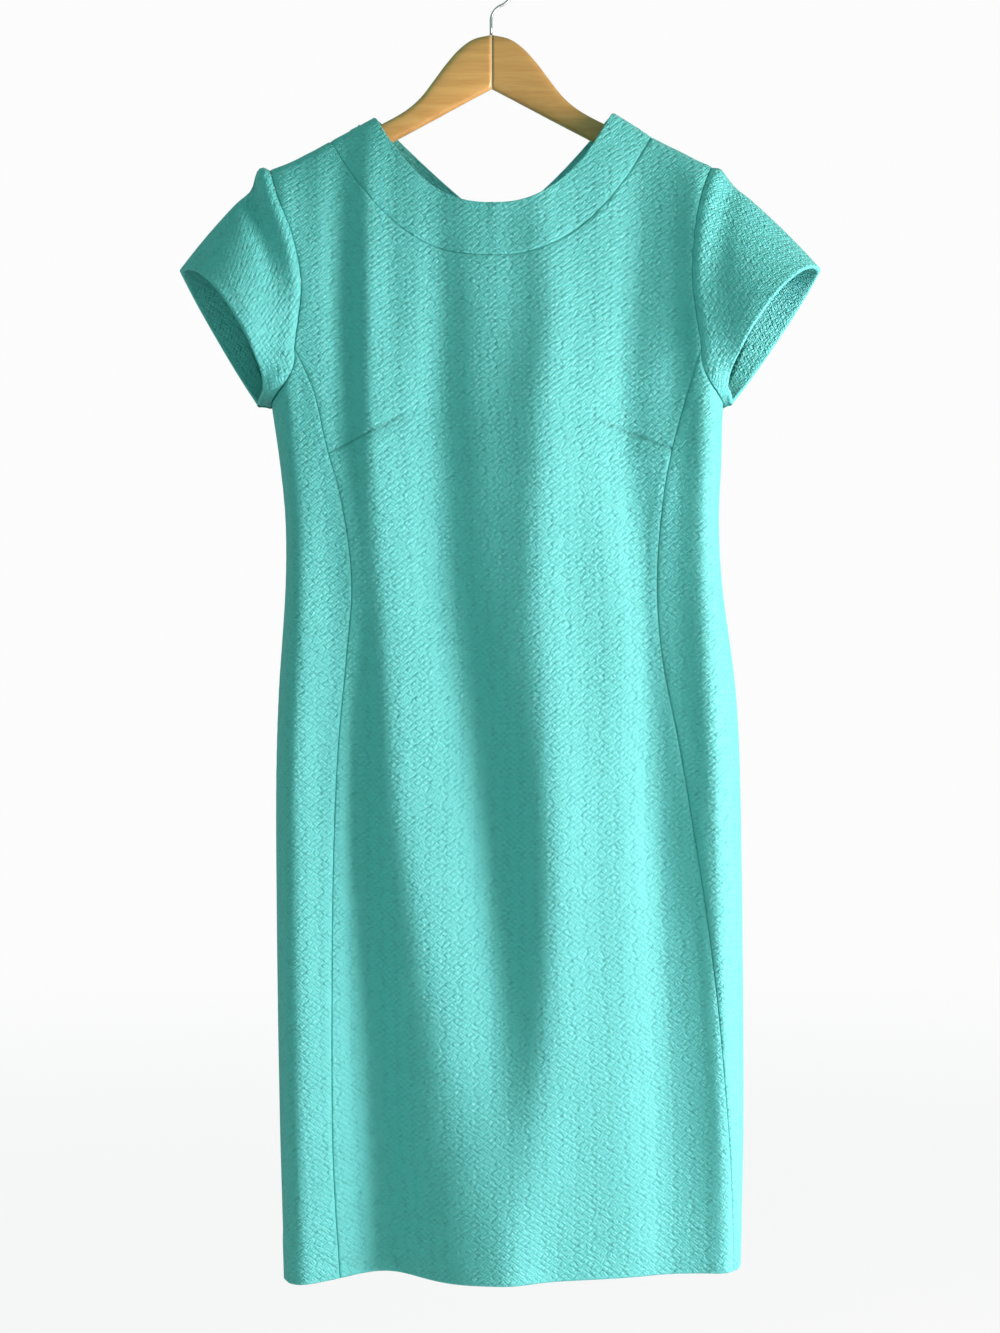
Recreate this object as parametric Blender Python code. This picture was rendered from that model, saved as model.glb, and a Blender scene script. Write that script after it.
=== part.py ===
"""Sheath dress hanging on a wooden hanger with a wire hook.

Metres, +Z up. The origin is the seat of the hook, the highest point inside its loop. The front of the dress
faces -Y and the wearer's right is at -X. The cloth is one surface that is cut into its sewn pieces, each a thin
closed wall. A point of that surface is found from an angle round the body, 0 at the middle of the front and
+-pi at the middle of the back, and a height that is measured down the cloth, so that it goes on counting over
the roll of the shoulder.
"""

import math

import bmesh
import bpy
from mathutils import Matrix, Vector

MM = 0.001

# Cloth
WALL = 1.5 * MM
BAND_WALL = 2.2 * MM  # the neckband is faced, so it is thicker than the dress except at its seam
SEAM_GAP = 0.3 * MM
ROLL = 9.0 * MM  # radius of the cloth where it goes over the hanger

# Hem and neckline. A neckline rises from its bottom to the shoulder as a power of the way across, one for the
# wearer's right and one for the left
HEM = -1133 * MM
HEM_TILT = 0.022
HEM_LIFT = 4 * MM  # where the hem is pulled up at the right valley
NECK_SHIFT = 2.5 * MM
BAND_EDGE_FRONT = {"half_width": 105 * MM, "bottom": -219 * MM, "powers": (2.4, 2.4), "shift": NECK_SHIFT}
BAND_EDGE_BACK = {"half_width": 105 * MM, "bottom": -223 * MM, "powers": (1.12, 1.35), "shift": NECK_SHIFT}
BAND_SEAM_FRONT = {"half_width": 141 * MM, "bottom": -264.5 * MM, "powers": (2.45, 2.45), "shift": 0.0}
BAND_SEAM_BACK = {"half_width": 141 * MM, "bottom": -271 * MM, "powers": (1.35, 1.5), "shift": 0.0}

# Hanger and hook
ARM_LENGTH = 190 * MM
ARM_THICKNESS = 12 * MM
ARM_SWEEP = 16 * MM  # how far the tips come forward
HANGER_TILT = math.radians(0.3)  # the wearer's left side hangs a little higher
CROWN_TOP = -65 * MM
WIRE = 2.4 * MM
LOOP_RADIUS = 21.2 * MM
NECK_BEND = 14 * MM  # radius of the hook's lower bend
HOOK_END_ANGLE = math.radians(205)

# How many strips each piece has
HEM_TO_ARMHOLE = 22
ARMHOLE_LOW = 4
ARMHOLE_FRONT = 10
ARMHOLE_BACK = 8
SHOULDER_STRIPS = 4
NECK_STRIPS_FRONT = 16
NECK_STRIPS_BACK = 7
SIDE_STRIPS = 4
BAND_STRIPS = 3
SLEEVE_STRIPS = (0.0, 0.1, 0.28, 0.52, 0.76, 1.0)

TEAL = (0.15, 0.62, 0.54, 1.0)
BEECH = (0.56, 0.31, 0.12, 1.0)
STEEL = (0.55, 0.55, 0.55, 1.0)


def smooth_value(places, values, at):
    """The value at a place, on a smooth curve through a short row of values."""
    order = 1 if places[-1] > places[0] else -1
    places, values = places[::order], values[::order]
    if at <= places[0]:
        return values[0]
    if at >= places[-1]:
        return values[-1]
    k = max(i for i in range(len(places) - 1) if places[i] <= at)

    def slope(i):
        low, high = max(i - 1, 0), min(i + 1, len(places) - 1)
        return (values[high] - values[low]) / (places[high] - places[low])

    span = places[k + 1] - places[k]
    t = (at - places[k]) / span
    start, end = values[k], values[k + 1]
    return (
        start * (1 + 2 * t) * (1 - t) ** 2
        + end * t * t * (3 - 2 * t)
        + span * (slope(k) * t * (1 - t) ** 2 - slope(k + 1) * t * t * (1 - t))
    )


class Table:
    """Rows of millimetres under named columns, read as smooth curves along the first column."""

    def __init__(self, columns, *rows):
        self.columns = {name: tuple(row[i] * MM for row in rows) for i, name in enumerate(columns)}
        self.places = self.columns[columns[0]]

    def at(self, column, place):
        return smooth_value(self.places, self.columns[column], place)


# The body's outline from the front, and how far it stands before and behind the side seams
SECTIONS = Table(
    ("height", "left", "right", "front", "back"),
    (-130, -206, 212, 50, 26),
    (-300, -204, 212, 54, 30),
    (-389, -189, 200, 60, 36),
    (-440, -181, 198, 64, 36),
    (-490, -176, 196, 62, 34),
    (-545, -176, 199, 60, 32),
    (-640, -182, 211, 62, 36),
    (-750, -184, 215, 64, 40),
    (-1000, -181, 217, 64, 40),
    (-1140, -177, 214, 62, 38),
)

# The line of the shoulders, where the front and the back meet
SHOULDERS = Table(
    ("across", "left", "right"),
    (0, -80, -73),
    (105, -140.5, -133.5),
    (141, -161, -157),
    (165, -174.5, -170),
    (180, -182, -178.6),
    (194, -187.5, -185.4),
    (230, -204, -205),
)

# Seams that run up the front, from the middle
PRINCESS = Table(
    ("height", "left", "right"),
    (-345, -166, 178),
    (-382, -150, 167),
    (-428, -139, 154),
    (-472, -127, 146),
    (-540, -118, 141),
    (-605, -122, 145),
    (-685, -129, 160),
    (-790, -133, 177),
    (-905, -134, 192),
    (-1030, -133, 203),
    (-1140, -127, 207),
)
ARMHOLE = Table(
    ("height", "left", "right"),
    (-178, -192, 192),
    (-211, -183, 180),
    (-247, -169, 173),
    (-290, -161, 171),
    (-345, -166, 178),
)
UNDERARM = -389 * MM
ARMHOLE_JOINT = -345 * MM  # where the princess seam meets the armhole
BACK_WIDER = 5 * MM  # how much further out the armhole lies at the back

# Angles of the side seams and of the middle of the back: the skirt hangs turned a little to the wearer's left
SEAM_TURN = Table(
    ("height", "side_right", "side_left", "middle_back"),
    (-389, 0, 0, 0),
    (-545, 3, 3, 2),
    (-750, 8, 8, 5),
    (-1140, 12, 12, 8),
)
TURN_TO_RADIANS = math.radians(1) / MM

# The largest folds. Each has, at these heights, its place across, its width and how far it stands out
FOLD_HEIGHTS = tuple(h * MM for h in (-230, -310, -410, -545, -740, -900, -1130))
FRONT_FOLDS = (
    {"name": "right ridge", "across": (-165, -160, -157, -157, -163, -164, -162),
     "width": (10, 12, 14, 14, 14, 14, 14), "out": (0, 0, 3, 4, 6, 6, 6)},
    {"name": "right valley", "across": (-129, -129, -119, -113, -122, -117, -96),
     "width": (16, 18, 20, 20, 26, 32, 42), "out": (-2, -5, -8, -10, -20, -25, -44)},
    {"name": "long ridge", "across": (-100, -100, -95, -93, -72, -44, 8),
     "width": (16, 18, 20, 22, 26, 28, 34), "out": (2, 4, 5, 6, 6, 4, 0)},
    {"name": "long valley", "across": (-58, -56, -51, -40, -4, 24, 36),
     "width": (18, 22, 24, 26, 28, 26, 24), "out": (-3, -6, -11, -14, -15, -12, 0)},
    {"name": "middle ridge", "across": (40, 54, 47, 48, 56, 58, 44),
     "width": (20, 22, 24, 26, 28, 30, 48), "out": (3, 5, 7, 8, 10, 9, 14)},
    {"name": "left valley", "across": (118, 118, 112, 136, 152, 158, 168),
     "width": (20, 22, 24, 24, 24, 24, 22), "out": (-2, -4, -4, -8, -8, -8, -5)},
    {"name": "left ridge", "across": (168, 170, 184, 170, 183, 190, 194),
     "width": (12, 12, 14, 14, 14, 14, 14), "out": (0, 0, 4, 5, 5, 5, 6)},
)
BACK_FOLDS = (
    {"name": "right back valley", "across": (-110, -105, -100, -92, -96, -104, -108),
     "width": (22, 24, 26, 28, 30, 32, 34), "out": (0, -2, -4, -7, -8, -9, -10)},
    {"name": "right back ridge", "across": (-60, -56, -50, -46, -50, -52, -50),
     "width": (22, 24, 26, 28, 30, 32, 34), "out": (0, 2, 4, 5, 6, 6, 7)},
    {"name": "middle back valley", "across": (4, 6, 8, 10, 14, 18, 20),
     "width": (20, 22, 24, 26, 26, 28, 28), "out": (0, -3, -5, -8, -6, -5, -4)},
    {"name": "left back ridge", "across": (70, 70, 68, 70, 78, 84, 88),
     "width": (22, 24, 26, 28, 30, 32, 34), "out": (0, 2, 4, 6, 7, 7, 8)},
    {"name": "left back valley", "across": (118, 116, 112, 114, 126, 134, 140),
     "width": (20, 22, 24, 24, 26, 26, 26), "out": (0, -2, -4, -6, -7, -8, -8)},
)

# The open ends of the sleeves: the middle, half of the long way, and the bulges before and behind it
SLEEVE_ENDS = {
    "right": {
        "middle": Vector((-234, -2, -333.5)) * MM,
        "up": Vector((-34, 0, 58.4)) * MM,
        "front": Vector((21, -36, 12)) * MM,
        "back": Vector((-2.5, 34, -1.5)) * MM,
        "shoulder_puff": 5 * MM,
    },
    "left": {
        "middle": Vector((245, -2, -332.5)) * MM,
        "up": Vector((38.7, 0, 58)) * MM,
        "front": Vector((-19, -36, 13)) * MM,
        "back": Vector((3, 34, -2)) * MM,
        "shoulder_puff": 2 * MM,
    },
}

SLEEVE_CROWN = 3 * MM  # how far the sleeve's top bows out between its seam and its hem

# The hanger's outline, from its middle
ARM = Table(
    ("across", "top", "under"),
    (0, -65, -112),
    (16, -69, -120.5),
    (28, -77.5, -127),
    (40, -91, -133.5),
    (50, -104.5, -139),
    (62, -120, -145.5),
    (76, -132, -153),
    (98, -144.5, -165),
    (120, -156.5, -177),
    (145, -168.5, -189),
    (165, -177.6, -196.5),
    (180, -183.8, -201),
    (190, -188.2, -203),
)
ARM_STATIONS = (0.0, 0.06, 0.12, 0.18, 0.24, 0.3, 0.36, 0.44, 0.54, 0.65, 0.76, 0.86, 0.94, 0.98, 1.0)
ARM_SIDES = 16


def remove_scene_objects():
    for thing in list(bpy.data.objects):
        bpy.data.objects.remove(thing, do_unlink=True)


def material(name, colour, roughness, metallic=0.0):
    made = bpy.data.materials.new(name)
    made.use_nodes = True
    shader = made.node_tree.nodes["Principled BSDF"]
    shader.inputs["Base Color"].default_value = colour
    shader.inputs["Roughness"].default_value = roughness
    shader.inputs["Metallic"].default_value = metallic
    return made


# ---- the cloth's surface ----


def shoulder_line(x):
    return SHOULDERS.at("left" if x < 0 else "right", abs(x))


def shoulder_height(x):
    """The shoulder line in heights down the cloth, which the roll makes a little longer."""
    return shoulder_line(x) + ROLL * (math.pi / 2 - 1)


def arm_sweep(x):
    return -ARM_SWEEP * (x / ARM_LENGTH) ** 2


def fold_out(folds, x, height):
    """How far the folds stand out of the plain surface, valleys counting as less than nothing."""
    out = 0.0
    for fold in folds:
        across = smooth_value(FOLD_HEIGHTS, fold["across"], height) * MM
        width = smooth_value(FOLD_HEIGHTS, fold["width"], height) * MM
        depth = smooth_value(FOLD_HEIGHTS, fold["out"], height) * MM
        out += depth * math.exp(-(((x - across) / width) ** 2))
    return out


def body_point(angle, height):
    left, right = SECTIONS.at("left", height), SECTIONS.at("right", height)
    x = (left + right) / 2 + (right - left) / 2 * math.sin(angle)
    facing = abs(math.cos(angle))
    to_front = math.cos(angle) >= 0
    below = max(shoulder_height(x) - height, 0.0)
    turned = min(below / ROLL, math.pi / 2)
    z = shoulder_line(x) - ROLL * (1 - math.cos(turned)) - max(below - ROLL * math.pi / 2, 0.0)
    # over the hanger the front and the back are a roll apart; under the arm they meet at the side
    roll = ROLL * math.sin(turned) * min(1.0, max(0.0, (height - UNDERARM) / (120 * MM)) + facing)
    opened = 1 - math.exp(-below / (95 * MM))
    depth = SECTIONS.at("front" if to_front else "back", height) * facing**0.7 * opened
    settled = (1 - math.exp(-below / (40 * MM))) * (1 - (1 - facing) ** 4)
    folds = fold_out(FRONT_FOLDS if to_front else BACK_FOLDS, x, height) * settled
    sweep = arm_sweep(x) * math.exp(-((below / (130 * MM)) ** 2))
    out = roll * min(1.0, facing * 6 + max(0.0, (height - UNDERARM) / (60 * MM))) + depth + folds
    return Vector((x, sweep - out if to_front else sweep + out, z))


def angle_at(x, height, to_front=True):
    """The angle of the surface's point that is that far across."""
    left, right = SECTIONS.at("left", height), SECTIONS.at("right", height)
    share = max(-1.0, min(1.0, (x - (left + right) / 2) / ((right - left) / 2)))
    angle = math.asin(share)
    if to_front:
        return angle
    return math.copysign(math.pi, x) - angle


# ---- the seams, each a row of (angle, height) ----


def spaced(count):
    return [i / count for i in range(count + 1)]


def eased(count):
    """Steps that are short at both ends."""
    return [(1 - math.cos(math.pi * i / count)) / 2 for i in range(count + 1)]


def hem_height(x):
    return HEM + HEM_TILT * x + HEM_LIFT * math.exp(-(((x + 105 * MM) / (40 * MM)) ** 2))


def princess_seam(side):
    """From the hem up to the armhole."""
    rows = []
    bottom = hem_height(PRINCESS.at(side, HEM))
    for t in spaced(HEM_TO_ARMHOLE):
        height = bottom + (ARMHOLE_JOINT - bottom) * t
        rows.append((angle_at(PRINCESS.at(side, height), height), height))
    return rows


def side_seam(side):
    """From the hem up to the underarm."""
    sign = -1 if side == "left" else 1
    column = "side_right" if side == "left" else "side_left"
    x = SECTIONS.at(side, HEM)
    bottom = hem_height(x)
    rows = []
    for t in spaced(HEM_TO_ARMHOLE):
        height = bottom + (UNDERARM - bottom) * t
        rows.append((sign * math.pi / 2 + SEAM_TURN.at(column, height) * TURN_TO_RADIANS, height))
    return rows


def middle_back_seam():
    """From the hem up to the neckband's seam, as an angle behind the wearer's left."""
    top = BAND_SEAM_BACK["bottom"]
    rows = []
    for t in spaced(HEM_TO_ARMHOLE + ARMHOLE_LOW + ARMHOLE_BACK):
        height = HEM + (top - HEM) * t
        turn = SEAM_TURN.at("middle_back", height) * TURN_TO_RADIANS
        rows.append((angle_at(0.0, height, False) + turn, height))
    return rows


def armhole_low(side, to_front):
    """From the joint of the princess seam, or its like at the back, down to the underarm."""
    sign = -1 if side == "left" else 1
    x = ARMHOLE.at(side, ARMHOLE_JOINT) + (0 if to_front else sign * BACK_WIDER)
    start = angle_at(x, ARMHOLE_JOINT, to_front)
    end = sign * math.pi / 2
    rows = []
    for t in spaced(ARMHOLE_LOW):
        swing = 1 - math.cos(t * math.pi / 2)
        fall = math.sin(t * math.pi / 2)
        rows.append((start + (end - start) * swing, ARMHOLE_JOINT + (UNDERARM - ARMHOLE_JOINT) * fall))
    return rows


def armhole_high(side, to_front):
    """From that joint up to the tip of the shoulder, with the last steps over the roll."""
    sign = -1 if side == "left" else 1
    tip = ARMHOLE.at(side, ARMHOLE.places[0])
    top = shoulder_height(tip)
    count = ARMHOLE_FRONT if to_front else ARMHOLE_BACK
    over_roll = ROLL * math.pi / 2
    low = [ARMHOLE_JOINT + (top - over_roll - ARMHOLE_JOINT) * t for t in spaced(count - 2)]
    rows = []
    for height in low + [top - over_roll / 2, top]:
        share = (height - ARMHOLE_JOINT) / (top - ARMHOLE_JOINT)
        x = ARMHOLE.at(side, height) + (0 if to_front else sign * BACK_WIDER * (1 - share**3))
        if height == top:
            x = tip
        rows.append((angle_at(x, height, to_front), height))
    return rows


def neck_point(curve, share, to_front):
    """A point of a neckline curve: share runs from -1, the wearer's right shoulder, to 1."""
    x = curve["shift"] + curve["half_width"] * share
    corner = shoulder_height(curve["shift"] + math.copysign(curve["half_width"], share))
    power = curve["powers"][0 if share < 0 else 1]
    height = curve["bottom"] + (corner - curve["bottom"]) * abs(share) ** power
    return angle_at(x, height, to_front), height


def shoulder_seam(side, to_front):
    """From the neckband's seam out to the tip."""
    sign = -1 if side == "left" else 1
    start = sign * BAND_SEAM_FRONT["half_width"]
    tip = ARMHOLE.at(side, ARMHOLE.places[0])
    rows = []
    for t in spaced(SHOULDER_STRIPS):
        x = start + (tip - start) * t
        rows.append((angle_at(x, shoulder_height(x), to_front), shoulder_height(x)))
    return rows


def even_edge(start, end, count):
    """A straight row between two (angle, height) points."""
    return [tuple(a + (b - a) * t for a, b in zip(start, end)) for t in spaced(count)]


def hem_edge(start, end, count):
    rows = []
    for angle, height in even_edge(start, end, count):
        rows.append((angle, hem_height(body_point(angle, height).x)))
    return rows


# ---- pieces ----


def patch(bottom, top, left, right):
    """Fills four edges, each a row of (angle, height), with a grid of points on the cloth."""
    rows, columns = len(left) - 1, len(bottom) - 1
    grid = []
    for i in range(rows + 1):
        v = i / rows
        line = []
        for j in range(columns + 1):
            u = j / columns
            place = []
            for k in range(2):
                across = left[i][k] * (1 - u) + right[i][k] * u
                along = bottom[j][k] * (1 - v) + top[j][k] * v
                corners = (bottom[0][k] * (1 - u) + bottom[-1][k] * u) * (1 - v) + (
                    top[0][k] * (1 - u) + top[-1][k] * u
                ) * v
                place.append(across + along - corners)
            line.append(body_point(*place))
        grid.append(line)
    return grid


def front_centre():
    left = princess_seam("left") + armhole_high("left", True)[1:]
    right = princess_seam("right") + armhole_high("right", True)[1:]
    neck = [neck_point(BAND_SEAM_FRONT, 2 * t - 1, True) for t in eased(NECK_STRIPS_FRONT)]
    top = shoulder_seam("left", True)[::-1] + neck[1:-1] + shoulder_seam("right", True)
    bottom = hem_edge(left[0], right[0], len(top) - 1)
    bottom[0], bottom[-1] = left[0], right[0]
    return patch(bottom, top, left, right)


def side_front(side):
    seam, edge = princess_seam(side), side_seam(side)
    bottom = hem_edge(seam[0], edge[0], SIDE_STRIPS)
    bottom[0], bottom[-1] = seam[0], edge[0]
    return patch(bottom, armhole_low(side, True), seam, edge)


def back(side):
    sign = -1 if side == "left" else 1
    middle = middle_back_seam()
    if side == "left":
        middle = [(angle - 2 * math.pi, height) for angle, height in middle]
    edge = side_seam(side) + armhole_low(side, False)[::-1][1:] + armhole_high(side, False)[1:]
    neck = [neck_point(BAND_SEAM_BACK, sign * t, False) for t in half_neck()]
    neck[0] = middle[-1]
    top = neck[:-1] + shoulder_seam(side, False)
    bottom = hem_edge(middle[0], edge[0], len(top) - 1)
    bottom[0], bottom[-1] = middle[0], edge[0]
    return patch(bottom, top, middle, edge)


def half_neck():
    """Steps from the middle of the back to the shoulder, short at the shoulder."""
    return [math.sin(math.pi / 2 * i / NECK_STRIPS_BACK) for i in range(NECK_STRIPS_BACK + 1)]


def band(shares, seam, edge, to_front):
    """A strip of the neckband, from its seam in to its free edge."""
    grid = []
    for r in spaced(BAND_STRIPS):
        line = []
        for share in shares:
            outer, inner = neck_point(seam, share, to_front), neck_point(edge, share, to_front)
            x = body_point(*outer).x * (1 - r) + body_point(*inner).x * r
            height = shoulder_height(x) if abs(share) == 1 else outer[1] * (1 - r) + inner[1] * r
            line.append(body_point(angle_at(x, height, to_front), height))
        grid.append(line)
    return grid


def band_back(side):
    sign = -1 if side == "left" else 1
    grid = band([sign * t for t in half_neck()], BAND_SEAM_BACK, BAND_EDGE_BACK, False)
    middle = middle_back_seam()[-1][0]
    for r, line in zip(spaced(BAND_STRIPS), grid):
        height = BAND_SEAM_BACK["bottom"] * (1 - r) + BAND_EDGE_BACK["bottom"] * r
        line[0] = body_point(middle if side == "right" else middle - 2 * math.pi, height)
    return grid


def armhole_loop(side):
    """All round: from the tip down the front, and up the back."""
    front = armhole_high(side, True)[::-1] + armhole_low(side, True)[1:]
    behind = armhole_low(side, False)[::-1][1:] + armhole_high(side, False)[1:]
    return [body_point(*place) for place in front + behind][:-1], len(front) - 1


def sleeve(side):
    end = SLEEVE_ENDS["right" if side == "left" else "left"]
    loop, underarm = armhole_loop(side)
    lengths = [(loop[(i + 1) % len(loop)] - p).length for i, p in enumerate(loop)]
    front, behind = sum(lengths[:underarm]), sum(lengths[underarm:])
    grid = [[] for _ in SLEEVE_STRIPS]
    run = 0.0
    for i, start in enumerate(loop):
        turn = math.pi * run / front if i < underarm else math.pi * (1 + (run - front) / behind)
        bulge = end["front"] if i < underarm else end["back"]
        finish = end["middle"] + end["up"] * math.cos(turn) + bulge * abs(math.sin(turn))
        over = max(0.0, math.cos(turn)) ** 2
        puff_way = (end["up"].normalized() + Vector((0, 0, 0.6))).normalized()
        for line, v in zip(grid, SLEEVE_STRIPS):
            puff = end["shoulder_puff"] * math.exp(-(((v - 0.12) / 0.12) ** 2)) * (v > 0)
            crown = SLEEVE_CROWN * 4 * v * (1 - v)
            line.append(start.lerp(finish, v) + puff_way * (puff + crown) * over)
        run += lengths[i]
    return grid


# ---- walls ----


def cell_normals(grid, closed, inside):
    """The outward normal of each cell of a grid."""
    rows, columns = len(grid) - 1, len(grid[0]) - (0 if closed else 1)
    count = len(grid[0])
    normals = []
    facing = 0.0
    for i in range(rows):
        line = []
        for j in range(columns):
            a, b = grid[i][j], grid[i][(j + 1) % count]
            c, d = grid[i + 1][(j + 1) % count], grid[i + 1][j]
            normal = (c - a).cross(d - b)
            facing += normal.dot((a + c) / 2 - inside)
            line.append(normal.normalized())
        normals.append(line)
    if facing < 0:
        normals = [[-normal for normal in line] for line in normals]
    return normals, facing > 0


def key(point):
    return tuple(round(c / (10 * 1e-6)) for c in point)


def add_normals(shared, grid, normals, closed):
    """Adds the cells' normals to the points they touch, so that pieces that meet share one direction."""
    count = len(grid[0])
    for i, line in enumerate(normals):
        for j, normal in enumerate(line):
            for row in (i, i + 1):
                for column in (j, (j + 1) % count):
                    shared.setdefault(key(grid[row][column]), []).append(normal)


def seam_inset(grid, i, j, normal, closed):
    """How an edge point moves into its piece, square to the edge, to leave half of the seam's gap."""
    rows, count = len(grid) - 1, len(grid[0])
    point = grid[i][j]
    ways = []
    if i in (0, rows):
        before = grid[i][(j - 1) % count] if closed or j > 0 else point
        after = grid[i][(j + 1) % count] if closed or j < count - 1 else point
        ways.append((after - before, grid[1 if i == 0 else rows - 1][j] - point))
    if not closed and j in (0, count - 1):
        before, after = grid[max(i - 1, 0)][j], grid[min(i + 1, rows)][j]
        ways.append((after - before, grid[i][1 if j == 0 else count - 2] - point))
    insets = []
    for along, inwards in ways:
        square = normal.cross(along).normalized()
        insets.append(square if square.dot(inwards) > 0 else -square)
    if not insets:
        return Vector((0, 0, 0))
    if len(insets) == 1:
        return insets[0] * SEAM_GAP / 2
    spread = max(0.15, 1 + insets[0].dot(insets[1]))
    return (insets[0] + insets[1]) * SEAM_GAP / 2 / spread


def build_walls(pieces):
    """Makes each piece's closed wall: the outer face, the inner face its row's thickness in, and the rims."""
    shared = {}
    faced = []
    for piece in pieces:
        normals, outwards = cell_normals(piece["grid"], piece["closed"], piece["inside"])
        add_normals(shared, piece["grid"], normals, piece["closed"])
        faced.append(outwards)
    for piece, outwards in zip(pieces, faced):
        grid, closed = piece["grid"], piece["closed"]
        rows, count = len(grid) - 1, len(grid[0])
        shape = bmesh.new()
        outer, inner = [], []
        for i in range(rows + 1):
            outer_line, inner_line = [], []
            for j in range(count):
                touching = shared[key(grid[i][j])]
                mean = sum(touching, Vector((0, 0, 0))) / len(touching)
                bend = max(0.6, mean.length)
                normal = mean.normalized()
                point = grid[i][j] + seam_inset(grid, i, j, normal, closed) / bend
                outer_line.append(shape.verts.new(point))
                inner_line.append(shape.verts.new(point - normal * piece["walls"][i] / bend))
            outer.append(outer_line)
            inner.append(inner_line)

        def face(*corners):
            shape.faces.new(corners if outwards else corners[::-1])

        columns = count if closed else count - 1
        for i in range(rows):
            for j in range(columns):
                k = (j + 1) % count
                face(outer[i][j], outer[i][k], outer[i + 1][k], outer[i + 1][j])
                face(inner[i][j], inner[i + 1][j], inner[i + 1][k], inner[i][k])
        for j in range(columns):
            k = (j + 1) % count
            face(outer[0][k], outer[0][j], inner[0][j], inner[0][k])
            face(outer[rows][j], outer[rows][k], inner[rows][k], inner[rows][j])
        if not closed:
            for i in range(rows):
                face(outer[i][0], outer[i + 1][0], inner[i + 1][0], inner[i][0])
                face(outer[i + 1][-1], outer[i][-1], inner[i][-1], inner[i + 1][-1])
        finish(piece["name"], shape, piece["material"])


def finish(name, shape, stuff):
    mesh = bpy.data.meshes.new(name)
    shape.to_mesh(mesh)
    shape.free()
    mesh.shade_smooth()
    mesh.set_sharp_from_angle(angle=math.radians(50))
    mesh.materials.append(stuff)
    thing = bpy.data.objects.new(name, mesh)
    bpy.context.scene.collection.objects.link(thing)
    return thing


def dress(cloth):
    body_inside = Vector((0, 0, -0.6))
    neck_inside = Vector((0, 0, -0.35))
    pieces = [{"name": "front_centre", "grid": front_centre(), "inside": body_inside}]
    shares = [2 * t - 1 for t in eased(NECK_STRIPS_FRONT)]
    front_band = band(shares, BAND_SEAM_FRONT, BAND_EDGE_FRONT, True)
    band_walls = [WALL] + [BAND_WALL] * BAND_STRIPS
    pieces.append({"name": "neckband_front", "grid": front_band, "inside": neck_inside, "walls": band_walls})
    for side, wearer in (("left", "right"), ("right", "left")):
        back_band = band_back(side)
        end = SLEEVE_ENDS[wearer]
        arm_inside = end["middle"].lerp(body_point(math.copysign(math.pi / 2, end["middle"].x), -0.29), 0.5)
        pieces += [
            {"name": f"side_front_{wearer}", "grid": side_front(side), "inside": body_inside},
            {"name": f"back_{wearer}", "grid": back(side), "inside": body_inside},
            {"name": f"sleeve_{wearer}", "grid": sleeve(side), "inside": arm_inside, "closed": True},
            {"name": f"neckband_back_{wearer}", "grid": back_band, "inside": neck_inside, "walls": band_walls},
        ]
    for piece in pieces:
        piece.setdefault("walls", [WALL] * len(piece["grid"]))
        piece.setdefault("closed", False)
        piece["material"] = cloth
    build_walls(pieces)


# ---- the hanger ----


def hanger_arm(name, sign, wood):
    """Half of the hanger, from the mitre in its middle to its rounded tip."""
    shape = bmesh.new()
    tilt = Matrix.Rotation(-HANGER_TILT, 3, "Y")
    rings = []
    for station in ARM_STATIONS:
        across = SEAM_GAP / 2 + (ARM_LENGTH - SEAM_GAP / 2) * station
        top, under = ARM.at("top", across), ARM.at("under", across)
        from_tip = max(0.0, 1 - (1 - station) / 0.06)
        slim = math.sqrt(max(0.08, 1 - from_tip**2))
        middle, half = (top + under) / 2, (top - under) / 2 * slim
        ring = []
        for k in range(ARM_SIDES):
            turn = 2 * math.pi * (k + 0.5) / ARM_SIDES
            side, up = math.cos(turn), math.sin(turn)
            side = math.copysign(abs(side) ** 0.6, side) * ARM_THICKNESS / 2 * slim
            up = math.copysign(abs(up) ** 0.75, up) * half
            point = Vector((sign * across, arm_sweep(across) + side, middle + up))
            ring.append(shape.verts.new(tilt @ point))
        rings.append(ring)
    for first, second in zip(rings, rings[1:]):
        for k in range(ARM_SIDES):
            n = (k + 1) % ARM_SIDES
            shape.faces.new((first[k], first[n], second[n], second[k]))
    shape.faces.new(rings[0][::-1])
    shape.faces.new(rings[-1])
    bmesh.ops.recalc_face_normals(shape, faces=shape.faces)
    return finish(name, shape, wood)


def hook(steel):
    """A shank that bends into an open loop. The seat is the highest point inside the loop."""
    centre = Vector((0, 0, -(LOOP_RADIUS - WIRE / 2)))
    lean = math.acos(NECK_BEND / (LOOP_RADIUS + NECK_BEND))
    join = centre + LOOP_RADIUS * Vector((math.cos(lean), 0, -math.sin(lean)))
    bend_start = join.z - NECK_BEND * math.sin(lean)
    foot = CROWN_TOP + SEAM_GAP
    path = [Vector((0, 0, foot)), Vector((0, 0, (foot + bend_start) / 2))]
    for t in spaced(8)[:-1]:
        turn = lean * t
        path.append(Vector((NECK_BEND * (1 - math.cos(turn)), 0, bend_start + NECK_BEND * math.sin(turn))))
    for t in spaced(26):
        turn = -lean + (HOOK_END_ANGLE + lean) * t
        path.append(centre + LOOP_RADIUS * Vector((math.cos(turn), 0, math.sin(turn))))
    wire = bpy.data.curves.new("hook", "CURVE")
    wire.dimensions = "3D"
    wire.bevel_depth = WIRE / 2
    wire.bevel_resolution = 2
    wire.use_fill_caps = True
    spline = wire.splines.new("POLY")
    spline.points.add(len(path) - 1)
    for point, place in zip(spline.points, path):
        point.co = (*place, 1)
    wire.materials.append(steel)
    bpy.context.scene.collection.objects.link(bpy.data.objects.new("hook", wire))


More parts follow.
